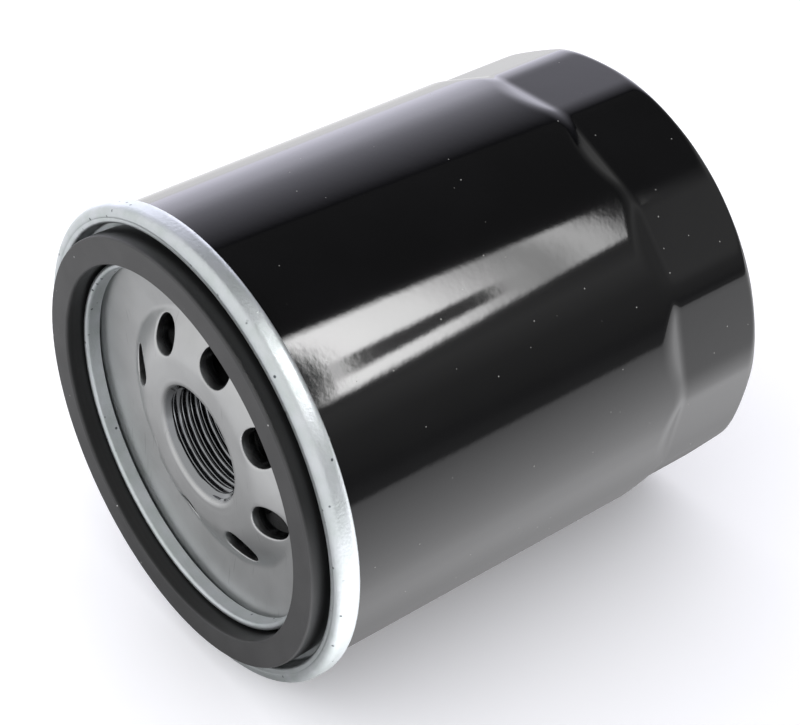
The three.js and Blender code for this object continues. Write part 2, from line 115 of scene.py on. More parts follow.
class CanSettings(bpy.types.PropertyGroup):
    """The can: a deep-drawn steel shell with wrench flats round its closed end."""

    radius: length("Radius", "Outside radius of the round wall", 38)
    wall: length("Wall", "Thickness of the steel", 0.6)
    end_round: length("End round", "Outside radius of the closed end's edge", 3)
    dish_radius: length("Recess radius", "Radius of the recess's floor", 22)
    dish_depth: length("Recess depth", "Depth of the recess in the closed end", 1.2)
    dish_slope: length("Recess slope", "Width of the recess's sloping edge", 3)
    flats: IntProperty(name="Flats", description="Wrench flats", default=14, min=3)
    flat_length: length("Flat length", "From the closed end to where a flat runs out", 17)
    flat_runout: FloatProperty(
        name="Flat run-out", description="Rise over run of the slope from a flat to the round wall",
        default=0.29, min=0.05,
    )
    ridge: length("Ridge", "How much the ridges between the flats are softened", 1.2)
    bend: length("Bend", "How much the front edges of the flats are softened", 0.4)


class LidSettings(bpy.types.PropertyGroup):
    """The seaming lid, its gasket and the compound in its seam."""

    sheet: length("Sheet", "Thickness of the lid's steel", 0.6)
    chuck_radius: length("Groove radius", "Outside radius of the gasket's groove", 36.6)
    bead_radius: length("Bead radius", "Outside radius of the rolled bead", 39.5)
    bead_front: length("Bead front", "Depth of the bead's front", 2.2)
    bead_back: length("Bead back", "Depth of the bead's back", 6.2)
    bead_round: length("Bead round", "How far the roll's bends reach", 1.25)
    hook_radius: length("Hook radius", "Where the roll meets the can", 38.3)
    floor_depth: length("Floor depth", "Depth of the groove's floor", 5.1)
    lip_radius: length("Lip radius", "Outside radius of the folded inner lip", 30.6)
    lip_front: length("Lip front", "Depth of the lip's crest", 2.8)
    lip_back: length("Lip back", "Depth of the lip's inside edge", 5.3)
    gasket_radius: length("Gasket radius", "Outside radius of the gasket", 35.5)
    gasket_width: length("Gasket width", "Width of the gasket's face", 4.5)
    gasket_height: length("Gasket height", "Height of the gasket", 4.9)
    gasket_edge: length("Gasket edge", "Rounding of the gasket's edges", 0.3)


class PlateSettings(bpy.types.PropertyGroup):
    """The base plate with its threaded neck, and the rubber valve behind it."""

    thick: length("Thickness", "Thickness of the plate", 2.6)
    centre_depth: length("Centre depth", "Depth of the flat centre", 4.4)
    shoulder_radius: length("Shoulder", "Radius where the centre breaks into a slope", 15.2)
    slope_radius: length("Slope", "Radius where the slope steepens", 17.6)
    slope_drop: length("Slope drop", "Drop from the centre to where it steepens", 0.8)
    foot_radius: length("Foot", "Radius of the crease round the slope's foot", 21.6)
    foot_drop: length("Foot drop", "Drop from the centre to the crease", 3)
    rim_radius: length("Rim radius", "Outside radius of the plate", 37)
    rim_depth: length("Rim depth", "Depth of the plate's rim", 5.8)
    rim_start: length("Rim start", "Radius where the rim begins", 31)
    thread_radius: length("Thread radius", "Mean radius of the 3/4-16 thread", 9.1)
    thread_height: length("Thread height", "Height of the thread's ridge", 0.86)
    thread_pitch: length("Thread pitch", "From one turn to the next", 1.5875)
    chamfer: length("Chamfer", "Chamfer at the thread's mouth", 1)
    neck_radius: length("Neck radius", "Outside radius of the neck", 12)
    neck_end: length("Neck end", "Depth of the neck's end", 15)
    holes: IntProperty(name="Inlet holes", description="Number of holes", default=8, min=3)
    hole_radius: length("Hole radius", "Radius of an inlet hole", 3.25)
    hole_squeeze: FloatProperty(
        name="Hole squeeze",
        description="How much shorter the press leaves a hole up the slope than along it", default=0.93,
        min=0.5, max=1,
    )
    hole_circle: length("Hole circle", "Radius that the holes' centres lie on", 17.7)
    hole_turn: angle("Hole turn", "From +X to the first hole", 28)
    hole_edge: length("Hole edge", "Rounding of the punched edge", 0.28)
    collar_wall: length("Collar wall", "Wall of the rubber valve's collar", 1.7)
    flap_radius: length("Flap radius", "Outside radius of the valve's flap", 26)
    flap_thick: length("Flap thickness", "Thickness of the flap over the holes", 1.1)


class ElementSettings(bpy.types.PropertyGroup):
    """The filter element: caps, paper, adhesive, clip and tube."""

    radius: length("Radius", "Outside radius of the end caps", 33.4)
    cap_sheet: length("Cap sheet", "Thickness of the caps' steel", 0.5)
    cap_rim: length("Cap rim", "How far a cap's rim turns over the paper", 4.4)
    lower_hole: length("Lower hole", "Radius of the lower cap's hole", 12.6)
    upper_hole: length("Upper hole", "Radius of the upper cap's hole", 10.2)
    tube_radius: length("Tube radius", "Outside radius of the centre tube", 13.5)
    tube_wall: length("Tube wall", "Thickness of the tube", 0.5)
    tube_hole: length("Tube hole", "Radius of the tube's holes", 2.2)
    tube_around: IntProperty(name="Holes around", description="Holes in a row", default=6, min=3)
    tube_rows: IntProperty(name="Hole rows", description="Rows of holes", default=4, min=1)
    pleats: IntProperty(name="Pleats", description="Folds in the paper", default=40, min=8)
    paper: length("Paper", "Thickness of the paper", 0.5)
    pleat_outside: length("Pleat outside", "Radius of the outer folds", 32)
    pleat_inside: length("Pleat inside", "Radius of the inner folds", 14.4)
    clip_sheet: length("Clip sheet", "Thickness of the clip's steel", 0.4)


class ValveSettings(bpy.types.PropertyGroup):
    """The by-pass valve and the springs."""

    cage_radius: length("Cage radius", "Outside radius of the cage", 9.9)
    cage_wall: length("Cage wall", "Thickness of the cage's steel", 0.6)
    cage_flange: length("Cage flange", "How far the flange stands out", 2.5)
    seat_hole: length("Seat hole", "Radius of the hole that the poppet shuts", 6)
    windows: IntProperty(name="Windows", description="Windows in the cage", default=6, min=2)
    window_width: length("Window width", "Width of a window", 4)
    window_height: length("Window height", "Height of a window", 7)
    stem_radius: length("Stem radius", "Radius of the poppet's stem", 1.6)
    poppet_radius: length("Poppet radius", "Radius of the poppet's disc", 8.4)
    coil_radius: length("Coil radius", "Mean radius of the by-pass spring", 6.2)
    coil_wire: length("Coil wire", "Radius of the by-pass spring's wire", 0.55)
    coil_turns: FloatProperty(
        name="Coil turns", description="Open turns of the by-pass spring", default=3, min=1,
    )
    seat_radius: length("Spring seat radius", "Inside radius of the spring's seat", 13.5)
    seat_sheet: length("Spring seat sheet", "Thickness of the spring's seat", 0.6)
    seat_edge: length("Spring seat edge", "Outside radius of the spring's seat", 17.6)
    spring_radius: length("Spring radius", "Mean radius of the element spring", 15.5)
    spring_wire: length("Spring wire", "Radius of the element spring's wire", 1.05)
    spring_turns: FloatProperty(
        name="Spring turns", description="Open turns of the element spring", default=2, min=1,
    )


class FinishSettings(bpy.types.PropertyGroup):
    """Colours of the finishes."""

    enamel: colour("Enamel", "Baked enamel on the can", "#070708")
    zinc: colour("Zinc", "Clear zinc plate", "#d8dcdf")
    steel: colour("Steel", "Oiled cold-rolled steel", "#cacbcb")
    gasket: colour("Gasket", "Nitrile rubber of the gasket", "#393939")
    rubber: colour("Valve rubber", "Nitrile rubber of the valves", "#161616")
    compound: colour("Compound", "Seam compound", "#6d6a55")
    plastisol: colour("Plastisol", "Adhesive of the element", "#a9774a")
    paper: colour("Paper", "Resin-treated filter paper", "#c9a45c")
    wire: colour("Wire", "Oil-tempered spring wire", "#6a6d72")


class StageSettings(bpy.types.PropertyGroup):
    """Camera, floor and light."""

    azimuth: angle("Azimuth", "Camera's place, from -Y towards +X", 52.668)
    elevation: angle("Elevation", "Camera's height above the horizon", 35.978)
    distance: length("Distance", "From the camera to what it aims at", 321)
    aim: FloatVectorProperty(
        name="Aim", description="Point that the camera looks at", default=(0.0049, -0.004, 0.0414),
        unit="LENGTH",
    )
    roll: angle("Roll", "Turn of the camera about its own line of sight", -1.296)
    lens: FloatProperty(name="Lens", description="Focal length", default=90.65, unit="CAMERA")
    floor: colour("Floor", "Paper that the filter lies on", "#f4f4f6")
    floor_tilt: angle("Floor tilt", "The filter lies on its bead and its closed end", 1.75)
    ambient: FloatProperty(
        name="Ambient", description="Strength of the light from all round", default=1.2, min=0
    )
    key: FloatProperty(
        name="Key", description="Strength of the soft box behind the can", default=19, min=0
    )


SETTINGS = {
    "filter_can": CanSettings,
    "filter_lid": LidSettings,
    "filter_plate": PlateSettings,
    "filter_element": ElementSettings,
    "filter_valve": ValveSettings,
    "filter_finish": FinishSettings,
    "filter_stage": StageSettings,
}


def sizes(context, name):
    """A group's settings, with its lengths in millimetres."""
    group = getattr(context.scene, name)
    found = {}
    for prop in group.bl_rna.properties:
        if prop.identifier in ("rna_type", "name"):
            continue
        value = getattr(group, prop.identifier)
        if prop.unit == "LENGTH" and not prop.is_array:
            value = value / MM
        found[prop.identifier] = value
    return SimpleNamespace(**found)


# ------------------------------------------------------------- shader helpers


def add(tree, kind, inputs=(), **settings):
    """Adds a node, gives it its settings, and links or sets its inputs."""
    made = tree.nodes.new(kind)
    for name, value in settings.items():
        setattr(made, name, value)
    for name, value in dict(inputs).items():
        if isinstance(value, bpy.types.NodeSocket):
            tree.links.new(value, made.inputs[name])
        else:
            made.inputs[name].default_value = value
    return made


def per(millimetres):
    """The texture scale whose features are about this far apart."""
    return 1 / (millimetres * MM)


def rgba(values, share=1.0):
    return [v * share for v in values] + [1.0]


def ramp(tree, source, stops):
    """A ramp from values to greys, with its stops as (place, grey)."""
    made = add(tree, "ShaderNodeValToRGB", {"Fac": source})
    while len(made.color_ramp.elements) < len(stops):
        made.color_ramp.elements.new(0.5)
    for element, (place, grey) in zip(made.color_ramp.elements, stops):
        element.position = place
        element.color = (grey, grey, grey, 1)
    return made.outputs["Color"]


def dress(shader, base, roughness, normal, fixed):
    """Feeds a main shader, and sets the numbers that are the same all over."""
    tree = shader.id_data
    tree.links.new(base, shader.inputs["Base Color"])
    tree.links.new(roughness, shader.inputs["Roughness"])
    tree.links.new(normal, shader.inputs["Normal"])
    for name, value in fixed.items():
        shader.inputs[name].default_value = value


def centred(tree):
    """Places on the piece, measured from the filter's axis."""
    where = add(tree, "ShaderNodeTexCoord")
    return add(
        tree, "ShaderNodeMapping", {"Vector": where.outputs["Object"], "Location": (0, 0, -AXIS_Z)},
    ).outputs["Vector"]


def turned_lines(tree, place):
    """Places that are the same all round the axis, for marks that a lathe or a roller leaves."""
    split = parts_of(tree, place)
    flat = add(tree, "ShaderNodeCombineXYZ", {"X": split["X"], "Y": split["Z"]})
    radius = add(tree, "ShaderNodeVectorMath", {0: flat.outputs[0]}, operation="LENGTH")
    return add(tree, "ShaderNodeCombineXYZ", {"X": radius.outputs["Value"], "Y": split["Y"]}).outputs[0]


def noise(tree, place, millimetres, detail=2.0, roughness=0.5):
    return add(
        tree, "ShaderNodeTexNoise",
        {"Vector": place, "Scale": per(millimetres), "Detail": detail, "Roughness": roughness},
    ).outputs["Fac"]


def specks(tree, place, apart, radius):
    """White dots scattered about this far apart, in millimetres."""
    cells = add(tree, "ShaderNodeTexVoronoi", {"Vector": place, "Scale": per(apart)})
    edge = radius / apart
    return ramp(tree, cells.outputs["Distance"], [(edge * 0.6, 1.0), (edge, 0.0)])


def mixed(tree, share, one, other):
    """Colour one turning to the other as the share rises from 0 to 1."""
    mix = add(tree, "ShaderNodeMix", {0: share, 6: one, 7: other}, data_type="RGBA")
    return mix.outputs[2]


def between(tree, value, low=0.0, high=1.0, start=0.0, stop=1.0):
    """A number that goes from low to high as the value goes from start to stop."""
    inputs = {"Value": value, "To Min": low, "To Max": high, "From Min": start, "From Max": stop}
    return add(tree, "ShaderNodeMapRange", inputs).outputs["Result"]


def both(tree, one, other):
    """The product of two numbers."""
    return add(tree, "ShaderNodeMath", {0: one, 1: other}, operation="MULTIPLY").outputs[0]


def parts_of(tree, place):
    """A place's X, Y and Z."""
    return add(tree, "ShaderNodeSeparateXYZ", {"Vector": place}).outputs


def empty_tree(owner):
    """Gives a material or a world an empty node tree."""
    owner.use_nodes = True
    owner.node_tree.nodes.clear()
    return owner.node_tree


def bump(tree, height, millimetres, below=None):
    inputs = {"Height": height, "Distance": millimetres * MM, "Strength": 1.0}
    if below is not None:
        inputs["Normal"] = below
    return add(tree, "ShaderNodeBump", inputs).outputs["Normal"]


# ------------------------------------------------------------------ materials


def baked_enamel(finish, tree, place, shader):
    """Black epoxy-polyester enamel, sprayed and baked on deep-drawn steel.

    The eye sees a hard, wet gloss with slow waves, and a little dust on it.
    """
    dust = specks(tree, place, 3.0, 0.14)
    film = ramp(tree, noise(tree, place, 14, 3), [(0.45, 0.0), (0.75, 1.0)])
    base = mixed(tree, film, rgba(finish.enamel), rgba(finish.enamel, 1.5))
    dusty = mixed(tree, dust, base, rgba(linear("#8b8b86")))
    waves = bump(tree, noise(tree, place, 7, 1), 0.01)
    # The peel's real grain is near 0.3 mm, drawn coarser so that it shows.
    peel = bump(tree, noise(tree, place, 1.1, 2), 0.0035, below=waves)
    dress(shader, dusty, between(tree, dust, 0.07, 0.6), peel, {"IOR": 1.5})


def clear_zinc(finish, tree, place, shader):
    """Clear zinc plate on rolled steel sheet.

    The eye sees a bluish-white satin metal, faintly clouded, with lines from the roller.
    """
    lines = turned_lines(tree, place)
    clouds = ramp(tree, noise(tree, place, 3.5, 4), [(0.35, 0.0), (0.7, 1.0)])
    grain = noise(tree, place, 0.45, 3)
    rolled = noise(tree, lines, 0.3, 3)
    base = mixed(tree, clouds, rgba(finish.zinc), rgba(linear("#cbd2d1")))
    # Pits are 0.1 mm or less, drawn at three times that so that they show.
    pits = specks(tree, place, 1.7, 0.28)
    few = ramp(tree, noise(tree, place, 7, 1), [(0.46, 0.0), (0.52, 1.0)])
    pitted = mixed(tree, both(tree, pits, few), base, rgba(linear("#5e6468")))
    marks = bump(tree, rolled, 0.004)
    # The plating's crystals are near 0.02 mm, drawn at 0.45 mm so that they sparkle.
    sparkle = bump(tree, grain, 0.05, below=marks)
    dress(shader, pitted, between(tree, grain, 0.36, 0.56), sparkle, METAL)


def oiled_steel(finish, tree, place, shader):
    """Cold-rolled steel, stamped, tapped and oiled.

    The eye sees a soft grey satin with turned marks, fine scratches and darker patches of oil.
    The walls of its punched holes are painted darker, as painted shade, and are wet with oil. Near the
    axis, where the tap has cut, it is far shinier.
    """
    lines = turned_lines(tree, place)
    oil = ramp(tree, noise(tree, place, 11, 3), [(0.4, 0.0), (0.7, 1.0)])
    grain = noise(tree, place, 0.3, 3)
    marks = noise(tree, lines, 0.6, 3)
    # A scratch is some 0.02 mm wide, drawn at about 0.15 mm.
    turn = add(
        tree, "ShaderNodeMapping", {"Vector": place, "Rotation": (0, 0.5, 0), "Scale": (1, 0.1, 0.06)},
    )
    hairs = ramp(tree, noise(tree, turn.outputs[0], 0.35, 1), [(0.72, 0.0), (0.78, 1.0)])
    base = mixed(tree, oil, rgba(finish.steel), rgba(finish.steel, 0.86))
    sheet = mixed(tree, hairs, base, rgba(finish.steel, 0.75))
    cut = between(tree, parts_of(tree, lines)["X"], start=9.9 * MM, stop=9.5 * MM)
    # Painted shade: the punched layer darkens the inlet holes' walls, as they lie in shadow.
    punched = add(tree, "ShaderNodeAttribute", attribute_name="punched").outputs["Fac"]
    shaded_walls = mixed(tree, punched, sheet, rgba(linear("#77787a")))
    base = mixed(tree, cut, shaded_walls, rgba(linear("#8e9092")))
    rough = between(tree, grain, 0.36, 0.5)
    wall_rough = add(tree, "ShaderNodeMix", {0: punched, 2: rough, 3: 0.2}).outputs[0]
    shine = add(tree, "ShaderNodeMix", {0: cut, 2: wall_rough, 3: 0.13}).outputs[0]
    relief = bump(tree, grain, 0.004, below=bump(tree, marks, 0.004))
    dress(shader, base, shine, relief, METAL)


def gasket_nitrile(finish, tree, place, shader):
    """Nitrile rubber, moulded, cut and dusted.

    The eye sees a dark grey face, patchy with bloom and dusted, and sides that are drawn darker,
    near black with a soft sheen.
    """
    depth = parts_of(tree, place)["Y"]
    side = between(tree, depth, start=FACE_Y + 0.2 * MM, stop=FACE_Y + 0.6 * MM)
    bloom = ramp(tree, noise(tree, place, 6, 4), [(0.35, 0.0), (0.7, 1.0)])
    grain = noise(tree, place, 0.25, 3)
    dust = specks(tree, place, 2.6, 0.16)
    base = mixed(tree, bloom, rgba(finish.gasket), rgba(finish.gasket, 1.25))
    dusty = mixed(tree, dust, base, rgba(linear("#a8a8a6")))
    streaks = noise(tree, turned_lines(tree, place), 0.7, 2)
    # The sides are drawn near black, darker than the face.
    skin = mixed(tree, streaks, rgba(linear("#0c0c0c")), rgba(linear("#1c1c1c")))
    base = mixed(tree, side, dusty, skin)
    dress(shader, base, between(tree, side, 0.56, 0.36), bump(tree, grain, 0.01), {"IOR": 1.5})


def valve_nitrile(finish, tree, place, shader):
    """Soft nitrile rubber, moulded in a polished tool and wet with oil.

    The eye sees near black with a smooth sheen.
    """
    film = noise(tree, place, 2.5, 3)
    base = mixed(tree, film, rgba(finish.rubber), rgba(finish.rubber, 1.6))
    dress(shader, base, between(tree, film, 0.16, 0.34), bump(tree, film, 0.01), {"IOR": 1.5})


def cured_adhesive(shade, rough, tree, place, shader):
    """Plastisol or lining compound, poured or sprayed and cured.

    The eye sees a smooth, slightly uneven skin with a dull shine.
    """
    flow = noise(tree, place, 3, 3)
    base = mixed(tree, flow, rgba(shade, 0.85), rgba(shade, 1.1))
    roughness = between(tree, flow, rough - 0.08, rough + 0.08)
    dress(shader, base, roughness, bump(tree, flow, 0.05), {"IOR": 1.52})


def filter_paper(finish, tree, place, shader):
    """Cellulose filter paper, treated with resin, creased and cured.

    The eye sees a warm tan felt of short fibres, darker in patches.
    """
    # Fibres are 0.03 mm thick, drawn at 0.3 mm.
    fibres = noise(tree, place, 0.3, 5, 0.7)
    patches = noise(tree, place, 4, 2)
    base = mixed(tree, fibres, rgba(finish.paper, 0.75), rgba(finish.paper, 1.1))
    shade = mixed(tree, patches, base, rgba(finish.paper, 0.9))
    dress(shader, shade, between(tree, fibres, 0.8, 0.95), bump(tree, fibres, 0.05), {})


def tempered_wire(finish, tree, place, shader):
    """Oil-tempered spring wire.

    The eye sees a dark blue-grey steel with a dull, slightly patchy oxide.
    """
    oxide = noise(tree, place, 1.5, 4)
    base = mixed(tree, oxide, rgba(finish.wire), rgba(finish.wire, 0.6))
    dress(shader, base, between(tree, oxide, 0.3, 0.45), bump(tree, oxide, 0.008), METAL)


METAL = {"Metallic": 1.0}
# What each of the record's slots is made of: the material's name, and what draws it.
FINISHES = {
    "black_enamel": ("baked_enamel", baked_enamel),
    "zinc_plate": ("clear_zinc", clear_zinc),
    "bare_steel": ("oiled_steel", oiled_steel),
    "gasket_rubber": ("gasket_nitrile", gasket_nitrile),
    "valve_rubber": ("valve_nitrile", valve_nitrile),
    "seam_sealant": ("lining_compound", lambda f, *rest: cured_adhesive(f.compound, 0.6, *rest)),
    "plastisol": ("cured_plastisol", lambda f, *rest: cured_adhesive(f.plastisol, 0.45, *rest)),
    "filter_paper": ("filter_paper", filter_paper),
    "spring_steel": ("tempered_wire", tempered_wire),
}
made_finishes = {}


def finish_for(context, slot):
    """The material for a slot, made the first time that it is asked for."""
    if slot not in made_finishes:
        name, draw = FINISHES[slot]
        material = made_finishes[slot] = bpy.data.materials.new(name)
        tree = empty_tree(material)
        shader = add(tree, "ShaderNodeBsdfPrincipled")
        add(tree, "ShaderNodeOutputMaterial", {"Surface": shader.outputs[0]})
        draw(sizes(context, "filter_finish"), tree, centred(tree), shader)
    return made_finishes[slot]


# --------------------------------------------------------------- mesh helpers


def verts_in(made):
    """The vertices among what an operator made."""
    return [g for g in made if isinstance(g, bmesh.types.BMVert)]


def round_off(bm, geom, affect, offset, segments):
    """Rounds off corners or edges, as far back along their sides as the offset."""
    bmesh.ops.bevel(
        bm, geom=geom, affect=affect, offset=offset, offset_type="OFFSET", segments=segments,
        profile=0.5, material=-1,
    )


def spin(bm, geom, angle, steps, rise=0.0, **settings):
    """Spins geometry about the filter's axis."""
    return bmesh.ops.spin(
        bm, geom=geom, cent=(0, 0, 0), axis=(0, 1, 0), dvec=(0, rise / steps, 0), angle=angle,
        steps=steps, **settings
    )["geom_last"]


def strip(bm, points):
    """A run of edges through points. Returns its corners."""
    corners = [bm.verts.new(point) for point in points]
    for one, other in zip(corners, corners[1:]):
        bm.edges.new((one, other))
    return corners


def raise_walls(bm, edges, depth):
    """Draws edges out along the axis into a skin."""
    made = bmesh.ops.extrude_edge_only(bm, edges=edges)["geom"]
    bmesh.ops.translate(bm, verts=verts_in(made), vec=(0, depth, 0))


def add_in(bm, other):
    """Moves another mesh into this one."""
    mesh = bpy.data.meshes.new("part")
    other.to_mesh(mesh)
    other.free()
    bm.from_mesh(mesh)
    bpy.data.meshes.remove(mesh)


def place_object(bm, name, material):
    """Makes an object of a mesh, in the scene."""
    mesh = bpy.data.meshes.new(name)
    bm.to_mesh(mesh)
    bm.free()
    mesh.materials.append(material)
    made = bpy.data.objects.new(name, mesh)
    bpy.context.scene.collection.objects.link(made)
    return made


def drawn(points, closed=True, segments=5):
    """A piece's outline, drawn flat from (radius, depth, cut) corners.

    Each corner is rounded off as far back along its sides as its cut.
    """
    bm = bmesh.new()
    corners = strip(bm, [(r, y, 0) for r, y, _ in points])
    if closed:
        bm.faces.new(corners)
    for corner, (_, _, cut) in zip(corners, points):
        if cut > 0:
            round_off(bm, [corner], "VERTICES", cut, segments)
    bmesh.ops.delete(bm, geom=bm.faces[:], context="FACES_ONLY")
    on_axis = [e for e in bm.edges if all(v.co.x < TINY for v in e.verts)]
    bmesh.ops.delete(bm, geom=on_axis, context="EDGES")
    return bm


def turn_round(bm, steps):
    """Spins what is drawn a full turn about the axis."""
    spin(bm, bm.verts[:] + bm.edges[:], 2 * math.pi, steps, use_merge=True)
    bmesh.ops.remove_doubles(bm, verts=bm.verts[:], dist=TINY)
    bmesh.ops.recalc_face_normals(bm, faces=bm.faces[:])


def turned(points, steps=128, segments=5):
    bm = drawn(points, segments=segments)
    turn_round(bm, steps)
    return bm


def pressed(points, sheet, steps=128, segments=5):
    """Sheet metal: the middle line of its thickness, spun and given its thickness."""
    bm = drawn(points, closed=False, segments=segments)
    turn_round(bm, steps)
    thicken(bm, sheet)
    return bm


def thicken(bm, sheet):
    """Gives an open skin its thickness, half to each side."""
    bm.normal_update()
    moves = [v.normal * v.calc_shell_factor() * sheet / 2 for v in bm.verts]
    for vert, move in zip(bm.verts, moves):
        vert.co += move
    bmesh.ops.solidify(bm, geom=bm.faces[:], thickness=sheet)
    bmesh.ops.recalc_face_normals(bm, faces=bm.faces[:])


def split_rows(bm, edges, cuts):
    bmesh.ops.subdivide_edges(bm, edges=edges, cuts=cuts, use_grid_fill=True)


def radius_of(vert):
    return math.hypot(vert.co.x, vert.co.z)


def scale_radius(vert, radius):
    share = radius / radius_of(vert)
    vert.co.x *= share
    vert.co.z *= share


def finish_piece(context, bm, name, node, slot, body="housing", crease=40):
    """Places a mesh in the frame, and makes it the piece that stands for a CAD node."""
    for face in bm.faces:
        face.smooth = True
    for edge in bm.edges:
        edge.smooth = edge.calc_face_angle(0) < math.radians(crease)
    bmesh.ops.transform(bm, matrix=TO_FRAME, verts=bm.verts[:])
    piece = place_object(bm, name, finish_for(context, slot))
    normals = piece.modifiers.new("Weighted normals", "WEIGHTED_NORMAL")
    normals.keep_sharp = True
    if body:
        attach(piece, body)
    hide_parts(node)
    return piece


def smooth_least(one, other, reach):
    """The lesser of two numbers, blended where they are within reach of each other."""
    near = max(reach - abs(one - other), 0) / reach
    return min(one, other) - near * near * reach / 4


# ----------------------------------------------------------------------- can


def on_outside(can, end, radius, depth):
    """Whether a point of the shell lies on its outer face."""
    out = max(radius - (can.radius - can.end_round), 0)
    up = max(depth - (end - can.end_round), 0)
    return math.hypot(out, up) > can.end_round - can.wall / 2


def press_flats(bm, can, end):
    """Presses the wrench flats in, where the spun shell stands out past them."""
    flat_radius = can.radius * math.cos(math.pi / can.flats)
    flat_start = end - can.flat_length
    step = 2 * math.pi / can.flats
    for vert in bm.verts:
        radius = radius_of(vert)
        if radius < can.radius / 2:
            continue
        off = math.atan2(vert.co.z, vert.co.x) % step - step / 2
        lift = -smooth_least(0, vert.co.y - flat_start, 2 * can.bend) * can.flat_runout
        near = flat_radius / math.cos(off) + lift
        beside = flat_radius / math.cos(step - abs(off)) + lift
        skin = 0 if on_outside(can, end, radius, vert.co.y) else can.wall
        flats = smooth_least(near, beside, can.ridge)
        scale_radius(vert, smooth_least(flats, radius + skin, can.bend) - skin)


class FILTER_OT_can(bpy.types.Operator):
    """Make the can: a deep-drawn shell with wrench flats round its closed end"""

    bl_idname = "filter.can"
    bl_label = "Can"

    def execute(self, context):
        can = sizes(context, "filter_can")
        lid = sizes(context, "filter_lid")
        front, end = depths("can")
        inside = can.radius - can.wall
        flange = lid.bead_radius - lid.sheet - 0.2
        face = can.dish_radius + can.dish_slope
        floor = end - can.dish_depth
        ease = 1.6
        bm = drawn(
            [
                (0, floor, 0), (can.dish_radius, floor, ease), (face, end, ease),
                (can.radius, end, can.end_round), (can.radius, front + can.wall, 0.25),
                (flange, front + can.wall, 0.1), (flange, front, 0.1), (inside, front, 0.8),
                (inside, end - can.wall, can.end_round - can.wall), (face, end - can.wall, ease),
                (can.dish_radius, floor - can.wall, ease), (0, floor - can.wall, 0),
            ],
            segments=16,
        )
        runout = can.radius * (1 - math.cos(math.pi / can.flats)) / can.flat_runout
        # Rows are fine where the flats run out into the round wall, and coarse elsewhere.
        margin, fine, coarse = 2, 0.25, 2
        cuts_in_flat = 22
        zone = end - can.flat_length - runout - margin
        zone_end = end - can.flat_length + margin
        for depth in (zone, zone_end):
            geom = bm.verts[:] + bm.edges[:]
            bmesh.ops.bisect_plane(bm, geom=geom, plane_co=(0, depth, 0), plane_no=(0, 1, 0))
        for edge in bm.edges[:]:
            low, high = sorted(v.co.y for v in edge.verts)
            if high - low < can.flat_length / 4 or edge.verts[0].co.x < inside - TINY:
                continue
            across = low > zone - TINY and high < zone_end + TINY
            split_rows(bm, [edge], round((high - low) / (fine if across else coarse)))
        turn_round(bm, can.flats * cuts_in_flat)
        press_flats(bm, can, end)
        finish_piece(context, bm, "can_shell", "can", "black_enamel")
        return {"FINISHED"}


# ----------------------------------------------------------- lid, seam, gasket


class FILTER_OT_lid(bpy.types.Operator):
    """Make the seaming lid: rolled bead, gasket groove and folded inner lip"""

    bl_idname = "filter.lid"
    bl_label = "Seaming lid"

    def execute(self, context):
        lid = sizes(context, "filter_lid")
        sheet = lid.sheet
        back = lid.floor_depth + sheet
        hem = sheet * 0.98
        lip_inside = lid.lip_radius - 2 * sheet
        step = 0.12
        bm = turned(
            [
                (lid.hook_radius, lid.bead_back, 0.25),
                (lid.bead_radius, lid.bead_back, lid.bead_round),
                (lid.bead_radius, lid.bead_front, lid.bead_round + 0.2),
                (lid.chuck_radius + 1.1, lid.bead_front, 0.3),
                (lid.chuck_radius + 1.0, lid.bead_front + step, 0.05),
                (lid.chuck_radius, lid.bead_front + step, 0.6),
                (lid.chuck_radius, lid.floor_depth, 0.5), (lid.lip_radius, lid.floor_depth, 0.5),
                (lid.lip_radius, lid.lip_front, hem), (lip_inside, lid.lip_front, hem),
                (lip_inside, lid.lip_back, 0.12), (lid.lip_radius - sheet, lid.lip_back, 0.05),
                (lid.lip_radius - sheet, back, 0.4), (lid.chuck_radius + sheet, back, 0.8),
                (lid.chuck_radius + sheet, lid.bead_front + sheet, 0.4),
                (lid.bead_radius - sheet, lid.bead_front + sheet, 0.7),
                (lid.bead_radius - sheet, lid.bead_back - sheet, 0.6),
                (lid.hook_radius, lid.bead_back - sheet, 0.1),
            ],
            steps=192, segments=6,
        )
        finish_piece(context, bm, "lid_ring", "seaming_lid", "zinc_plate")
        return {"FINISHED"}


class FILTER_OT_seam(bpy.types.Operator):
    """Make the ring of lining compound that seals the rolled seam"""

    bl_idname = "filter.seam"
    bl_label = "Seam compound"

    def execute(self, context):
        lid = sizes(context, "filter_lid")
        can = sizes(context, "filter_can")
        front, back = depths("seam_compound")
        inner = can.radius - can.wall + 0.3
        outer = lid.bead_radius - lid.sheet - 0.3
        soft = (back - front) * 0.45
        bm = turned(
            [(inner, front, soft), (outer, front, soft), (outer, back, soft), (inner, back, soft)],
        )
        finish_piece(context, bm, "seam_ring", "seam_compound", "seam_sealant")
        return {"FINISHED"}


class FILTER_OT_gasket(bpy.types.Operator):
    """Make the square-section sealing gasket, with the faint step of its mould line"""

    bl_idname = "filter.gasket"
    bl_label = "Gasket"

    def execute(self, context):
        lid = sizes(context, "filter_lid")
        outer = lid.gasket_radius
        inner = outer - lid.gasket_width
        edge = lid.gasket_edge
        middle = lid.gasket_height / 2
        bulge = 0.06
        bm = turned(
            [
                (inner, 0, edge), ((inner + outer) / 2, 0, 0), (outer, 0, edge),
                (outer + bulge, middle, 0.8), (outer, lid.gasket_height, edge),
                (inner, lid.gasket_height, edge), (inner - bulge, middle, 0.8),
            ],
            steps=192,
        )
        finish_piece(context, bm, "sealing_gasket", "gasket", "gasket_rubber")
        return {"FINISHED"}


# --------------------------------------------------- base plate and its valve


def square_turn(u, v):
    """The angle that evenly spaced points on a square take on a circle."""
    if abs(u) >= abs(v):
        return v / u * math.pi / 4 + (0 if u > 0 else math.pi)
    return -u / v * math.pi / 4 + (math.pi / 2 if v > 0 else -math.pi / 2)


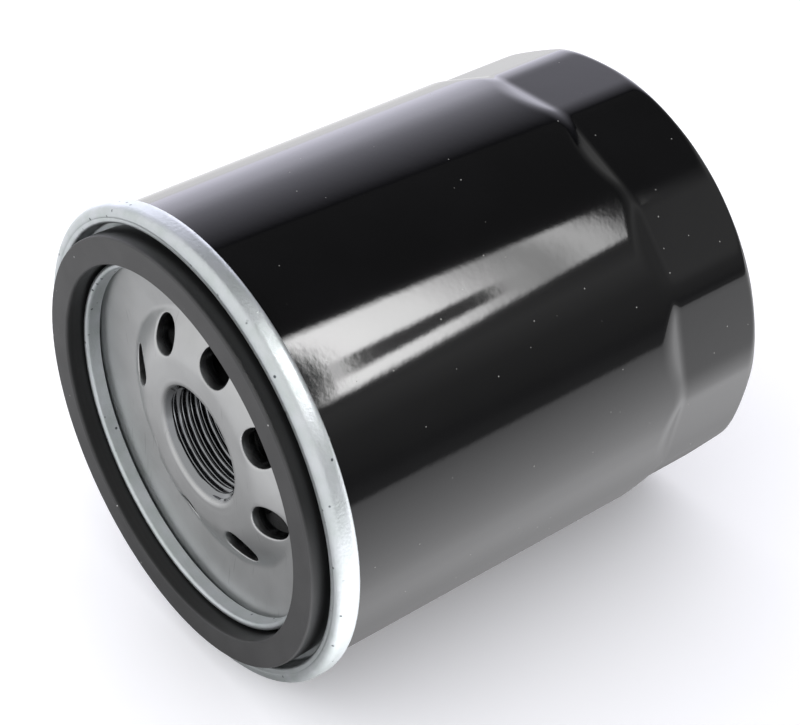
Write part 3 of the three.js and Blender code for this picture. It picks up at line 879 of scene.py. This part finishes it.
def punched_patch(cells, block, place, rim):
    """A square patch of quads with a round hole in it.

    place(u, v) puts the patch's points, with u and v from -0.5 to 0.5, and
    rim(angle) puts the hole's. The hole takes the room of block cells.
    """
    bm = bmesh.new()
    bmesh.ops.create_grid(bm, x_segments=cells, y_segments=cells, size=0.5)
    half = block / cells / 2
    middle = [f for f in bm.faces if max(map(abs, f.calc_center_median())) < half]
    bmesh.ops.delete(bm, geom=middle, context="FACES")
    gap = [e for e in bm.edges if all(max(map(abs, v.co)) < half + TINY for v in e.verts)]
    gap = [e for e in gap if e.is_boundary]
    grid = bm.verts[:]
    made = bmesh.ops.extrude_edge_only(bm, edges=gap)["geom"]
    circle = verts_in(made)
    turns = [square_turn(vert.co.x, vert.co.y) for vert in circle]
    for vert in grid:
        vert.co = place(vert.co.x, vert.co.y)
    for vert, turn in zip(circle, turns):
        vert.co = rim(turn)
    spokes = [e for e in bm.edges if sum(v in circle for v in e.verts) == 1]
    split_rows(bm, spokes, 2)
    return bm


def ring_of(bm, count):
    """Repeats a patch round the axis until it closes on itself."""
    geom = bm.verts[:] + bm.edges[:] + bm.faces[:]
    spin(bm, geom, 2 * math.pi * (count - 1) / count, count - 1, use_duplicate=True)
    bmesh.ops.remove_doubles(bm, verts=bm.verts[:], dist=1e-3)


def grow_ring(bm, radius, to_radius, steps):
    """Carries the loop of edges at one radius out or in to another."""
    loop = [e for e in bm.edges if all(abs(radius_of(v) - radius) < 1e-3 for v in e.verts)]
    for i in range(steps):
        made = bmesh.ops.extrude_edge_only(bm, edges=loop)["geom"]
        loop = [g for g in made if isinstance(g, bmesh.types.BMEdge)]
        for vert in verts_in(made):
            scale_radius(vert, radius + (to_radius - radius) * (i + 1) / steps)


def plate_depth(plate, radius):
    """Depth of the plate's front at a radius, with its creases slightly eased."""
    outside = plate.centre_depth + plate.foot_drop
    corners = [
        (plate.thread_radius, plate.centre_depth + plate.chamfer),
        (plate.thread_radius + plate.chamfer, plate.centre_depth),
        (plate.shoulder_radius, plate.centre_depth),
        (plate.slope_radius, plate.centre_depth + plate.slope_drop), (plate.foot_radius, outside),
        (plate.rim_start, plate.rim_depth), (plate.rim_radius, plate.rim_depth),
    ]

    def sharp(r):
        for (r0, y0), (r1, y1) in zip(corners, corners[1:]):
            if r <= r1:
                return y0 + (y1 - y0) * max(r - r0, 0) / (r1 - r0)
        return corners[-1][1]

    if radius < plate.thread_radius + plate.chamfer + 0.5:
        return sharp(radius)
    # The shoulder is drawn over a wide round, and the foot over a tight one.
    wide, tight = 1.0, 0.25
    reach = wide if radius < (plate.slope_radius + plate.foot_radius) / 2 else tight
    return sum(sharp(radius + reach * i / 4) for i in range(-4, 5)) / 9


def thread_radius(plate, turn, depth):
    """Radius of the tapped hole at an angle and a depth: a 60 degree thread with flat crests."""
    wave = (depth / plate.thread_pitch - turn / (2 * math.pi)) % 1
    ridge = min(max(abs(wave - 0.5) * 2 * 1.35 - 0.2, 0), 1)
    start = plate.centre_depth + plate.chamfer
    fade = min((plate.neck_end - depth) / plate.thread_pitch, 1)
    radius = plate.thread_radius + plate.thread_height * (0.5 - ridge) * fade
    cone = plate.thread_radius + max(start - depth, 0)
    return max(radius, cone - max(depth - start, 0))


class FILTER_OT_base_plate(bpy.types.Operator):
    """Make the base plate: pressed and punched, with a tapped neck"""

    bl_idname = "filter.base_plate"
    bl_label = "Base plate"

    def execute(self, context):
        plate = sizes(context, "filter_plate")
        sector = 2 * math.pi / plate.holes
        inner = plate.neck_radius
        outer = 2 * plate.hole_circle - inner

        def place(u, v):
            radius = plate.hole_circle + u * (outer - inner)
            turn = v * sector
            return Vector((radius * math.cos(turn), 0, radius * math.sin(turn)))

        def rim(turn):
            across = plate.hole_radius * plate.hole_squeeze * math.cos(turn)
            along = plate.hole_radius * math.sin(turn)
            return Vector((plate.hole_circle + across, 0, along))

        patch_cells, hole_cells = 28, 20
        face_rows, chamfer_rows, outer_rows = 3, 5, 28
        bm = punched_patch(patch_cells, hole_cells, place, rim)
        ring_of(bm, plate.holes)
        mouth = plate.thread_radius + plate.chamfer
        grow_ring(bm, inner, mouth, face_rows)
        grow_ring(bm, mouth, plate.thread_radius, chamfer_rows)
        grow_ring(bm, outer, plate.rim_radius, outer_rows)
        bmesh.ops.recalc_face_normals(bm, faces=bm.faces[:])
        for vert in bm.verts:
            vert.co.y = plate_depth(plate, radius_of(vert))
        made = bmesh.ops.extrude_face_region(bm, geom=bm.faces[:])["geom"]
        bmesh.ops.translate(bm, verts=verts_in(made), vec=(0, plate.thick, 0))
        neck = [
            f
            for f in made
            if isinstance(f, bmesh.types.BMFace)
            and max(radius_of(v) for v in f.verts) < inner + TINY
        ]
        made = bmesh.ops.extrude_face_region(bm, geom=neck)["geom"]
        bmesh.ops.delete(bm, geom=neck, context="FACES")
        for vert in verts_in(made):
            vert.co.y = plate.neck_end
        bmesh.ops.remove_doubles(bm, verts=bm.verts[:], dist=TINY)
        self.tap(bm, plate)
        bmesh.ops.recalc_face_normals(bm, faces=bm.faces[:])
        self.break_edges(bm, plate)
        self.shade_hole_walls(bm, plate)
        turn = Matrix.Rotation(-plate.hole_turn, 4, "Y")
        bmesh.ops.transform(bm, matrix=turn, verts=bm.verts[:])
        finish_piece(context, bm, "threaded_plate", "base_plate", "bare_steel", crease=55)
        return {"FINISHED"}

    def tap(self, bm, plate):
        """Cuts rows into the bore and moves them out and in to make the thread."""
        rows_in_pitch = 12
        uprights = self.upright(bm, plate.thread_radius)
        talls = sorted({round(abs(e.verts[0].co.y - e.verts[1].co.y), 3) for e in uprights})
        for tall in talls:
            same = [
                e
                for e in self.upright(bm, plate.thread_radius)
                if abs(abs(e.verts[0].co.y - e.verts[1].co.y) - tall) < 0.01
            ]
            split_rows(bm, same, round(tall / plate.thread_pitch * rows_in_pitch))
        for vert in bm.verts:
            if abs(radius_of(vert) - plate.thread_radius) < 1e-3:
                turn = math.atan2(vert.co.z, vert.co.x)
                scale_radius(vert, thread_radius(plate, turn, vert.co.y))

    def upright(self, bm, radius):
        """Edges of the bore that run along the axis."""
        return [
            e
            for e in bm.edges
            if all(abs(radius_of(v) - radius) < 1e-3 for v in e.verts)
            and abs(e.verts[0].co.y - e.verts[1].co.y) > 0.5
        ]

    def shade_hole_walls(self, bm, plate):
        """Marks the holes' walls for painted shade, which darkens them from just below the face."""
        start, fade = 0.2, 0.3
        # This layer holds the share of painted shade on the holes' walls.
        layer = bm.verts.layers.float.new("punched")
        for vert in bm.verts:
            radius = radius_of(vert)
            deep = vert.co.y - plate_depth(plate, radius)
            if radius > plate.neck_radius + TINY and radius < plate.foot_radius:
                vert[layer] = min(max((deep - start) / fade, 0), 1)

    def break_edges(self, bm, plate):
        """Rounds the edges that the punch leaves on the inlet holes, front and back."""
        step = 2 * math.pi / plate.holes
        edges = []
        for edge in bm.edges:
            if edge.calc_face_angle(0) < math.radians(40):
                continue
            at_hole = True
            for vert in edge.verts:
                turn = math.atan2(vert.co.z, vert.co.x)
                turn -= round(turn / step) * step
                radius = radius_of(vert)
                across = (radius * math.cos(turn) - plate.hole_circle) / plate.hole_squeeze
                along = radius * math.sin(turn)
                if abs(math.hypot(across, along) - plate.hole_radius) > 0.01:
                    at_hole = False
            if at_hole:
                edges.append(edge)
        round_off(bm, edges, "EDGES", plate.hole_edge, 3)


class FILTER_OT_drainback(bpy.types.Operator):
    """Make the anti-drainback valve: a rubber collar with a flap that shuts the inlet holes"""

    bl_idname = "filter.drainback"
    bl_label = "Anti-drainback valve"

    def execute(self, context):
        plate = sizes(context, "filter_plate")
        front, back = depths("anti_drainback_valve")
        inner = plate.neck_radius + 0.3
        collar = inner + plate.collar_wall
        plate_back = plate.centre_depth + plate.foot_drop + plate.thick
        gap, lip_thick, bow = 0.1, 0.6, 1
        lip_radius = plate.flap_radius - 1
        lip = plate_depth(plate, lip_radius) + plate.thick + gap
        edge = plate_depth(plate, plate.flap_radius) + plate.thick + gap
        arch = plate_back + bow
        bend = plate.hole_circle + plate.hole_radius - 1
        flap_back = arch + plate.flap_thick
        bm = turned(
            [
                (inner, front, 0.3), (collar - 0.6, front, 0.4), (collar, arch - 0.5, 0.5),
                (bend, arch, 2), (lip_radius, lip, 0.3), (plate.flap_radius, edge, 0.25),
                (plate.flap_radius, edge + lip_thick, 0.25), (bend, flap_back, 2),
                (collar + 1, flap_back, 0.6), (collar, flap_back + 1, 0.6), (collar, back - 1.2, 0),
                (collar, back, 0.5), (inner, back, 0.4),
            ],
        )
        piece = finish_piece(
            context, bm, "drainback_rubber", "anti_drainback_valve", "valve_rubber", body=None
        )
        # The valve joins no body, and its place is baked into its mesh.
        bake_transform(piece)
        return {"FINISHED"}


# ------------------------------------------------------------- filter element


class FILTER_OT_end_caps(bpy.types.Operator):
    """Make the element's two end caps: pressed discs with a rim over the paper"""

    bl_idname = "filter.end_caps"
    bl_label = "End caps"

    def execute(self, context):
        element = sizes(context, "filter_element")
        half = element.cap_sheet / 2
        lower = depths("lower_end_cap")[0]
        upper = depths("upper_end_cap")[1]
        for name, node, face, side, hole in (
            ("end_cap_lower", "lower_end_cap", lower, 1, element.lower_hole),
            ("end_cap_upper", "upper_end_cap", upper, -1, element.upper_hole),
        ):
            rib, rise = element.tube_radius + 4, 0.4
            bm = pressed(
                [
                    (hole, face + side * half, 0), (rib, face + side * half, 0.8),
                    (rib + 0.8, face + side * (half + rise), 0.5),
                    (element.radius - 4.8, face + side * (half + rise), 0.5),
                    (element.radius - 4, face + side * half, 0.8),
                    (element.radius - half, face + side * half, 0.9),
                    (element.radius - half, face + side * element.cap_rim, 0)
                ],
                element.cap_sheet,
            )
            finish_piece(context, bm, name, node, "bare_steel")
        return {"FINISHED"}


class FILTER_OT_potting(bpy.types.Operator):
    """Make the two rings of adhesive that hold the paper in its caps"""

    bl_idname = "filter.potting"
    bl_label = "Adhesive rings"

    def execute(self, context):
        element = sizes(context, "filter_element")
        inner = element.tube_radius + 0.3
        outer = element.radius - element.cap_sheet - 0.3
        for name, node in (("adhesive_lower", "lower_potting"), ("adhesive_upper", "upper_potting")):
            front, back = depths(node)
            bm = turned(
                [(inner, front, 0.3), (outer, front, 0.4), (outer, back, 0.5), (inner, back, 0.5)],
            )
            finish_piece(context, bm, name, node, "plastisol")
        return {"FINISHED"}


class FILTER_OT_paper(bpy.types.Operator):
    """Make the pleated paper: one pleat, mirrored, repeated and given its thickness"""

    bl_idname = "filter.paper"
    bl_label = "Pleated paper"

    def execute(self, context):
        element = sizes(context, "filter_element")
        front, back = depths("pleated_media")
        half = math.pi / element.pleats
        tip = element.pleat_outside
        root = element.pleat_inside
        tip_width = 0.7
        root_width = 0.5
        c, i = math.cos(half), math.sin(half)
        bm = bmesh.new()
        corners = strip(
            bm,
            [
                (tip, front, 0), (tip, front, tip_width),
                (root * c + root_width * i, front, root * i - root_width * c),
                (root * c, front, root * i)
            ],
        )
        round_off(bm, [corners[1]], "VERTICES", tip_width * 0.95, 4)
        round_off(bm, [corners[2]], "VERTICES", root_width * 0.95, 4)
        bmesh.ops.mirror(bm, geom=bm.verts[:] + bm.edges[:], axis="Z", merge_dist=TINY)
        ring_of(bm, element.pleats)
        raise_walls(bm, bm.edges[:], back - front)
        bmesh.ops.recalc_face_normals(bm, faces=bm.faces[:])
        thicken(bm, element.paper)
        finish_piece(context, bm, "pleated_paper", "pleated_media", "filter_paper")
        return {"FINISHED"}


class FILTER_OT_clip(bpy.types.Operator):
    """Make the folded strip that pinches the paper's two ends together"""

    bl_idname = "filter.clip"
    bl_label = "Paper clip"

    def execute(self, context):
        element = sizes(context, "filter_element")
        low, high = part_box("media_clip")
        front, back = depths("media_clip")
        wide = (high.z - low.z) / 2 / MM - element.clip_sheet / 2
        out = high.x / MM - element.clip_sheet / 2
        deep = low.x / MM
        bm = bmesh.new()
        sides = ((deep, -wide), (out, -wide), (out, wide), (deep, wide))
        corners = strip(bm, [(x, front, z) for x, z in sides])
        for corner in corners[1:3]:
            round_off(bm, [corner], "VERTICES", 0.45, 4)
        raise_walls(bm, bm.edges[:], back - front)
        bmesh.ops.recalc_face_normals(bm, faces=bm.faces[:])
        thicken(bm, element.clip_sheet)
        finish_piece(context, bm, "paper_clip", "media_clip", "zinc_plate")
        return {"FINISHED"}


class FILTER_OT_tube(bpy.types.Operator):
    """Make the perforated centre tube that holds the paper up"""

    bl_idname = "filter.tube"
    bl_label = "Centre tube"

    def execute(self, context):
        element = sizes(context, "filter_element")
        front, back = depths("centre_tube")
        middle = element.tube_radius - element.tube_wall / 2
        pitch = (back - front) / (element.tube_rows + 0.5)
        sector = 2 * math.pi / element.tube_around
        bm = bmesh.new()
        for row in range(element.tube_rows):
            depth = front + pitch * (row + 0.75)
            turned_by = sector / 2 if row % 2 else 0

            def on_tube(along, turn, depth=depth, turned_by=turned_by):
                turn += turned_by
                return Vector((middle * math.cos(turn), depth + along, middle * math.sin(turn)))

            def place(u, v):
                return on_tube(u * pitch, v * sector)

            def rim(turn):
                along = element.tube_hole * math.cos(turn)
                return on_tube(along, element.tube_hole * math.sin(turn) / middle)

            patch = punched_patch(16, 8, place, rim)
            ring_of(patch, element.tube_around)
            add_in(bm, patch)
        bmesh.ops.remove_doubles(bm, verts=bm.verts[:], dist=1e-3)
        for end, tall in ((front, -pitch / 4), (back, pitch / 4)):
            loop = [
                e
                for e in bm.edges
                if e.is_boundary and all(abs(v.co.y - end + tall) < 1e-3 for v in e.verts)
            ]
            raise_walls(bm, loop, tall)
        bmesh.ops.recalc_face_normals(bm, faces=bm.faces[:])
        thicken(bm, element.tube_wall)
        finish_piece(context, bm, "perforated_tube", "centre_tube", "zinc_plate")
        return {"FINISHED"}


# -------------------------------------------------------------- by-pass valve


class FILTER_OT_cage(bpy.types.Operator):
    """Make the by-pass valve's cage: a windowed cup whose flange holds the seat"""

    bl_idname = "filter.cage"
    bl_label = "By-pass cage"

    def execute(self, context):
        valve = sizes(context, "filter_valve")
        front, back = depths("bypass_cage")
        wall = valve.cage_wall
        radius = valve.cage_radius - wall / 2
        top = back - wall / 2
        bottom = front + wall / 2
        guide_back = depths("bypass_guide")[1]
        spring_room = 10
        turned_in = 1.9
        poppet_front = guide_back + spring_room
        middle = (guide_back + poppet_front) / 2
        cup = drawn(
            [
                (radius - turned_in, bottom, 0), (radius, bottom, 0.6),
                (radius, middle - valve.window_height / 2, 0),
                (radius, middle + valve.window_height / 2, 0), (radius, top - wall / 2 - 0.05, 0),
            ],
            closed=False,
        )
        steps = 90
        turn_round(cup, steps)
        half_window = valve.window_width / 2 / radius
        step = 2 * math.pi / valve.windows
        gone = []
        for face in cup.faces:
            centre = face.calc_center_median()
            turn = math.atan2(centre.z, centre.x)
            turn -= round(turn / step) * step
            if abs(centre.y - middle) < valve.window_height / 2 and abs(turn) < half_window:
                gone.append(face)
        bmesh.ops.delete(cup, geom=gone, context="FACES")
        thicken(cup, wall)
        flange = pressed(
            [(valve.seat_hole, top, 0), (valve.cage_radius + valve.cage_flange, top, 0)], wall,
            steps=steps,
        )
        add_in(cup, flange)
        finish_piece(context, cup, "valve_cage", "bypass_cage", "bare_steel")
        return {"FINISHED"}


class FILTER_OT_guide(bpy.types.Operator):
    """Make the washer that carries the by-pass spring and guides the stem"""

    bl_idname = "filter.guide"
    bl_label = "Spring guide"

    def execute(self, context):
        valve = sizes(context, "filter_valve")
        front, back = depths("bypass_guide")
        outer = valve.cage_radius - valve.cage_wall - 0.3
        inner = valve.stem_radius + 0.3
        bm = turned(
            [(inner, front, 0.2), (outer, front, 0.25), (outer, back, 0.1), (inner, back, 0.2)],
            steps=64,
        )
        finish_piece(context, bm, "spring_guide", "bypass_guide", "bare_steel")
        return {"FINISHED"}


class FILTER_OT_poppet(bpy.types.Operator):
    """Make the poppet: a disc on a stem that slides in the guide"""

    bl_idname = "filter.poppet"
    bl_label = "Poppet"

    def execute(self, context):
        valve = sizes(context, "filter_valve")
        front, back = depths("bypass_poppet")
        seal_front = depths("bypass_seal")[0]
        gap, disc_thick, boss = 0.1, 0.8, 2.7
        disc_top = seal_front - gap
        disc = disc_top - disc_thick
        bm = turned(
            [
                (0, front, 0), (valve.stem_radius, front, 0.4), (valve.stem_radius, disc, 0.6),
                (valve.poppet_radius, disc, 0.25), (valve.poppet_radius, disc_top, 0.15),
                (boss, disc_top, 0.1), (boss, back, 0.3), (0, back, 0),
            ],
            steps=96,
        )
        finish_piece(context, bm, "valve_poppet", "bypass_poppet", "zinc_plate", body="bypass_valve")
        return {"FINISHED"}


class FILTER_OT_seal(bpy.types.Operator):
    """Make the poppet's rubber face"""

    bl_idname = "filter.seal"
    bl_label = "Poppet seal"

    def execute(self, context):
        valve = sizes(context, "filter_valve")
        front, back = depths("bypass_seal")
        outer = valve.poppet_radius - 0.3
        inner = 3.0
        bm = turned(
            [(inner, front, 0.1), (outer, front, 0.15), (outer, back, 0.25), (inner, back, 0.2)],
            steps=96,
        )
        finish_piece(context, bm, "poppet_seal", "bypass_seal", "valve_rubber", body="bypass_valve")
        return {"FINISHED"}


# -------------------------------------------------------------------- springs


def coil(radius, wire, front, back, turns):
    """A compression spring: open turns between two closed end coils."""
    closed_turns = 0.75
    steps_in_turn = 40
    bm = bmesh.new()
    start = Matrix.Translation((radius, front + wire, 0))
    bmesh.ops.create_circle(bm, cap_ends=True, segments=12, radius=wire, matrix=start)
    end_rise = closed_turns * 2 * wire * 1.02
    open_rise = back - front - 2 * wire - 2 * end_rise
    section = bm.verts[:] + bm.edges[:] + bm.faces[:]
    for part_turns, rise in ((closed_turns, end_rise), (turns, open_rise), (closed_turns, end_rise)):
        steps = round(part_turns * steps_in_turn)
        section = spin(bm, section, 2 * math.pi * part_turns, steps, rise)
    bmesh.ops.remove_doubles(bm, verts=bm.verts[:], dist=TINY)
    bmesh.ops.recalc_face_normals(bm, faces=bm.faces[:])
    return bm


class FILTER_OT_springs(bpy.types.Operator):
    """Make the by-pass spring and the spring that holds the element up"""

    bl_idname = "filter.springs"
    bl_label = "Springs"

    def execute(self, context):
        valve = sizes(context, "filter_valve")
        front, back = depths("bypass_spring")
        bm = coil(valve.coil_radius, valve.coil_wire, front, back, valve.coil_turns)
        piece = finish_piece(context, bm, "bypass_coil", "bypass_spring", "spring_steel")
        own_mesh(piece)
        front, back = depths("element_spring")
        bm = coil(valve.spring_radius, valve.spring_wire, front, back, valve.spring_turns)
        finish_piece(context, bm, "element_coil", "element_spring", "spring_steel")
        return {"FINISHED"}


class FILTER_OT_spring_seat(bpy.types.Operator):
    """Make the pressed ring that centres the element's spring"""

    bl_idname = "filter.spring_seat"
    bl_label = "Spring seat"

    def execute(self, context):
        valve = sizes(context, "filter_valve")
        front, back = depths("element_spring_seat")
        half = valve.seat_sheet / 2
        bm = pressed(
            [
                (valve.seat_edge, front + half, 0), (valve.seat_radius + half, front + half, 0.5),
                (valve.seat_radius + half, back, 0),
            ],
            valve.seat_sheet, steps=96,
        )
        finish_piece(context, bm, "spring_cup", "element_spring_seat", "zinc_plate")
        return {"FINISHED"}


# ---------------------------------------------------------------------- stage


def direction(azimuth, elevation):
    """Unit vector from the filter, with azimuth from -Y towards +X, both in degrees."""
    a, e = math.radians(azimuth), math.radians(elevation)
    return Vector((math.sin(a) * math.cos(e), -math.cos(a) * math.cos(e), math.sin(e)))


def card(name, azimuth, elevation, away, corners, tint, up, across, shaded=None):
    """A glowing card that faces the filter and that the camera doesn't see.

    corners are its (right, up) corners in metres from its middle, in order from the lower
    left. up and across are stops of its brightness, from its foot to its top and from side
    to side. shaded is a dimmer block: its left, right, foot and top as shares, and its share
    of the light.
    """
    a, e = math.radians(azimuth), math.radians(elevation)
    centre = Vector((0, 0, AXIS_Z)) + direction(azimuth, elevation) * away
    right = Vector((math.cos(a), math.sin(a), 0))
    rise = Vector((-math.sin(a) * math.sin(e), math.cos(a) * math.sin(e), math.cos(e)))
    low_left, low_right, top_right, top_left = (centre + right * u + rise * v for u, v in corners)
    bm = bmesh.new()
    bmesh.ops.create_grid(bm, x_segments=8, y_segments=8, size=0.5, calc_uvs=True)
    layer = bm.loops.layers.uv.verify()
    for face in bm.faces:
        for loop in face.loops:
            loop[layer].uv = (loop.vert.co.x + 0.5, loop.vert.co.y + 0.5)
    for vert in bm.verts:
        u, v = vert.co.x + 0.5, vert.co.y + 0.5
        foot = low_left.lerp(low_right, u)
        vert.co = foot.lerp(top_left.lerp(top_right, u), v)
    material = bpy.data.materials.new(name)
    tree = empty_tree(material)
    split = parts_of(tree, add(tree, "ShaderNodeTexCoord").outputs["UV"])
    brightest = max(value for _, value in up)
    rising = ramp(tree, split["Y"], [(p, v / brightest) for p, v in up])
    share = both(tree, rising, ramp(tree, split["X"], across))
    if shaded:
        left, far, foot, top, dim = shaded
        soft = 0.06
        wide = [(left, 0.0), (left + soft, 1.0), (far - soft, 1.0), (far, 0.0)]
        tall = [(foot, 0.0), (foot + soft, 1.0), (top - soft, 1.0), (top, 0.0)]
        block = both(tree, ramp(tree, split["X"], wide), ramp(tree, split["Y"], tall))
        share = both(tree, share, between(tree, block, 1.0, dim))
    strength = both(tree, share, brightest)
    glow = add(tree, "ShaderNodeEmission", {"Color": rgba(linear(tint)), "Strength": strength})
    add(tree, "ShaderNodeOutputMaterial", {"Surface": glow.outputs[0]})
    made = place_object(bm, name, material)
    made.visible_camera = False
    made.visible_shadow = False
    return made


def make_world(stage):
    """Soft light from all round, darker behind the filter where its gloss looks."""
    world = bpy.data.worlds.new("studio")
    bpy.context.scene.world = world
    tree = empty_tree(world)
    rays = add(tree, "ShaderNodeLightPath").outputs
    split = parts_of(tree, add(tree, "ShaderNodeTexCoord").outputs["Generated"])
    # Behind the filter the studio is dark above and hazy near the floor.
    haze = ramp(
        tree, split["Z"], [(0.0, 0.2), (0.26, 0.32), (0.43, 0.55), (0.55, 0.3), (0.7, 0.1), (1.0, 0.09)],
    )
    ahead = ramp(tree, split["Y"], [(0.0, 1.0), (0.08, 0.5), (0.2, 0.0)])
    behind = mixed(tree, ahead, haze, rgba([0.95] * 3))
    gloss, soft, pale = (
        add(tree, "ShaderNodeBackground", {"Color": shade, "Strength": strength}).outputs[0]
        for shade, strength in (
            (behind, 1.0),
            (rgba(linear("#fbfbff")), stage.ambient),
            (rgba(linear("#f6f6f8")), 1.0),
        )
    )
    first = add(tree, "ShaderNodeMixShader", {0: rays["Is Glossy Ray"], 1: soft, 2: gloss})
    last = add(tree, "ShaderNodeMixShader", {0: rays["Is Camera Ray"], 1: first.outputs[0], 2: pale})
    add(tree, "ShaderNodeOutputWorld", {"Surface": last.outputs[0]})


def make_floor(stage):
    """A sheet of pale paper, tilted so that the filter rests on its bead and its closed end."""
    bm = bmesh.new()
    bmesh.ops.create_grid(bm, x_segments=1, y_segments=1, size=2.5)
    bead_y = (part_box("seaming_lid")[0].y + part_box("seaming_lid")[1].y) / 2
    tilt = Matrix.Rotation(stage.floor_tilt, 4, "X")
    place = Matrix.Translation((0, bead_y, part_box("seaming_lid")[0].z)) @ tilt
    bmesh.ops.transform(bm, matrix=place, verts=bm.verts[:])
    material = bpy.data.materials.new("paper_sweep")
    tree = empty_tree(material)
    where = add(tree, "ShaderNodeTexCoord").outputs["Object"]
    split = parts_of(tree, where)
    fibres = noise(tree, where, 1.5, 3)
    plain = mixed(tree, fibres, rgba(stage.floor), rgba(stage.floor, 0.985))
    # Painted light: the paper is drawn whiter and given a faint glow, most of all in front and on the
    # left, as if the lamps washed it nearly white.
    along = between(tree, split["X"], start=-0.06, stop=0.1)
    shade = mixed(tree, along, rgba((1.0, 1.0, 1.0)), plain)
    washed = between(tree, split["Y"], 0.13, 0.2, start=0.02, stop=-0.07)
    matt = add(tree, "ShaderNodeBsdfDiffuse", {"Color": shade})
    wash = add(tree, "ShaderNodeEmission", {"Color": rgba(stage.floor), "Strength": washed})
    paper = add(tree, "ShaderNodeAddShader", {0: matt.outputs[0], 1: wash.outputs[0]})
    # Painted light and shade: gloss sees the paper glow, with a painted shadow under the filter, bright
    # beside it, ending on the right.
    reach = 0.5
    beside = between(tree, split["X"], start=-reach, stop=reach)
    brightest = 2.5
    stops = [
        (-0.45, 1.9), (-0.3, 1.55), (-0.12, 1.2), (-0.02, 0.2), (0.02, 0.3), (0.03, 0.8), (0.036, 1.3),
        (0.042, 1.95), (0.051, 2.45), (0.07, 2.45), (0.112, 2.05), (0.155, 1.7), (0.208, 1.35),
        (0.236, 0.3), (0.5, 0.2),
    ]
    seen = ramp(tree, beside, [((x + reach) / reach / 2, v / brightest) for x, v in stops])
    in_front = between(tree, split["Y"], start=-0.05, stop=-0.12)
    level = mixed(tree, in_front, seen, rgba([1 / brightest] * 3))
    strength = both(tree, level, brightest)
    lit = add(tree, "ShaderNodeEmission", {"Color": rgba(stage.floor), "Strength": strength})
    glossy = add(tree, "ShaderNodeLightPath").outputs["Is Glossy Ray"]
    shown = add(tree, "ShaderNodeMixShader", {0: glossy, 1: paper.outputs[0], 2: lit.outputs[0]})
    add(tree, "ShaderNodeOutputMaterial", {"Surface": shown.outputs[0]})
    floor = place_object(bm, "paper_sweep", material)


def make_camera(stage):
    """The camera, at the angle that the stage's settings give."""
    data = bpy.data.cameras.new("camera")
    data.lens = stage.lens
    data.sensor_width = 36
    data.clip_start = 0.01
    data.clip_end = 20
    camera = bpy.data.objects.new("camera", data)
    bpy.context.scene.collection.objects.link(camera)
    aim = Vector(stage.aim)
    back = direction(math.degrees(stage.azimuth), math.degrees(stage.elevation))
    camera.location = aim + back * stage.distance * MM
    turn = (-back).to_track_quat("-Z", "Y").to_matrix().to_4x4()
    turn = turn @ Matrix.Rotation(stage.roll, 4, "Z")
    camera.rotation_euler = turn.to_euler()
    bpy.context.scene.camera = camera


class FILTER_OT_stage(bpy.types.Operator):
    """Make the camera, the pale floor and the soft studio light"""

    bl_idname = "filter.stage"
    bl_label = "Stage"

    def execute(self, context):
        stage = sizes(context, "filter_stage")
        make_camera(stage)
        make_floor(stage)
        make_world(stage)
        card(
            "key_box", 137, 43, 0.62, [(-0.205, -0.125), (-0.01, -0.1), (0.075, 0.05), (0.0, 0.2)],
            "#ffffff", up=[(0.0, 0.0), (0.09, stage.key), (0.9, stage.key), (1.0, 0.0)],
            across=[
                (0.0, 0.3), (0.06, 1.0), (0.4, 0.8), (0.6, 0.38), (0.75, 0.21), (0.9, 0.5), (1.0, 0.25),
            ],
            shaded=(0.05, 0.6, 0.2, 0.48, 0.04),
        ).visible_diffuse = False
        card(
            "left_card", -120, 12, 0.8, [(-0.8, -0.65), (0.8, -0.65), (0.8, 0.65), (-0.8, 0.65)],
            "#f1f0ff",
            up=[
                (0.0, 1.8), (0.4, 2.4), (0.55, 2.2), (0.66, 1.35), (0.77, 0.9), (0.9, 0.42), (1.0, 0.0),
            ],
            across=[(0.0, 0.0), (0.25, 1.0), (0.75, 1.0), (1.0, 0.0)],
        )
        # Colours are shown as they are, so that the floor stays white.
        context.scene.view_settings.view_transform = "Standard"
        return {"FINISHED"}


# ------------------------------------------------------------------------ add-on

OPERATORS = (
    FILTER_OT_can, FILTER_OT_lid, FILTER_OT_seam, FILTER_OT_gasket, FILTER_OT_base_plate,
    FILTER_OT_drainback, FILTER_OT_end_caps, FILTER_OT_potting, FILTER_OT_paper, FILTER_OT_clip,
    FILTER_OT_tube, FILTER_OT_cage, FILTER_OT_guide, FILTER_OT_poppet, FILTER_OT_seal,
    FILTER_OT_springs, FILTER_OT_spring_seat, FILTER_OT_stage,
)


class FILTER_PT_panel(bpy.types.Panel):
    """Lists the steps that make the filter, in order"""

    bl_label = "Oil filter"
    bl_idname = "FILTER_PT_panel"
    bl_space_type = "VIEW_3D"
    bl_region_type = "UI"
    bl_category = "Oil filter"

    def draw(self, context):
        column = self.layout.column(align=True)
        for operator in OPERATORS:
            column.operator(operator.bl_idname)


def register():
    for group in SETTINGS.values():
        bpy.utils.register_class(group)
    for name, group in SETTINGS.items():
        setattr(bpy.types.Scene, name, PointerProperty(type=group))
    for operator in OPERATORS:
        bpy.utils.register_class(operator)
    bpy.utils.register_class(FILTER_PT_panel)


def unregister():
    bpy.utils.unregister_class(FILTER_PT_panel)
    for operator in reversed(OPERATORS):
        bpy.utils.unregister_class(operator)
    for name in SETTINGS:
        delattr(bpy.types.Scene, name)
    for group in reversed(SETTINGS.values()):
        bpy.utils.unregister_class(group)


def main():
    register()
    for operator in OPERATORS:
        step = operator.bl_idname.split(".")[1]
        getattr(bpy.ops.filter, step)()


if __name__ == "__main__":
    main()
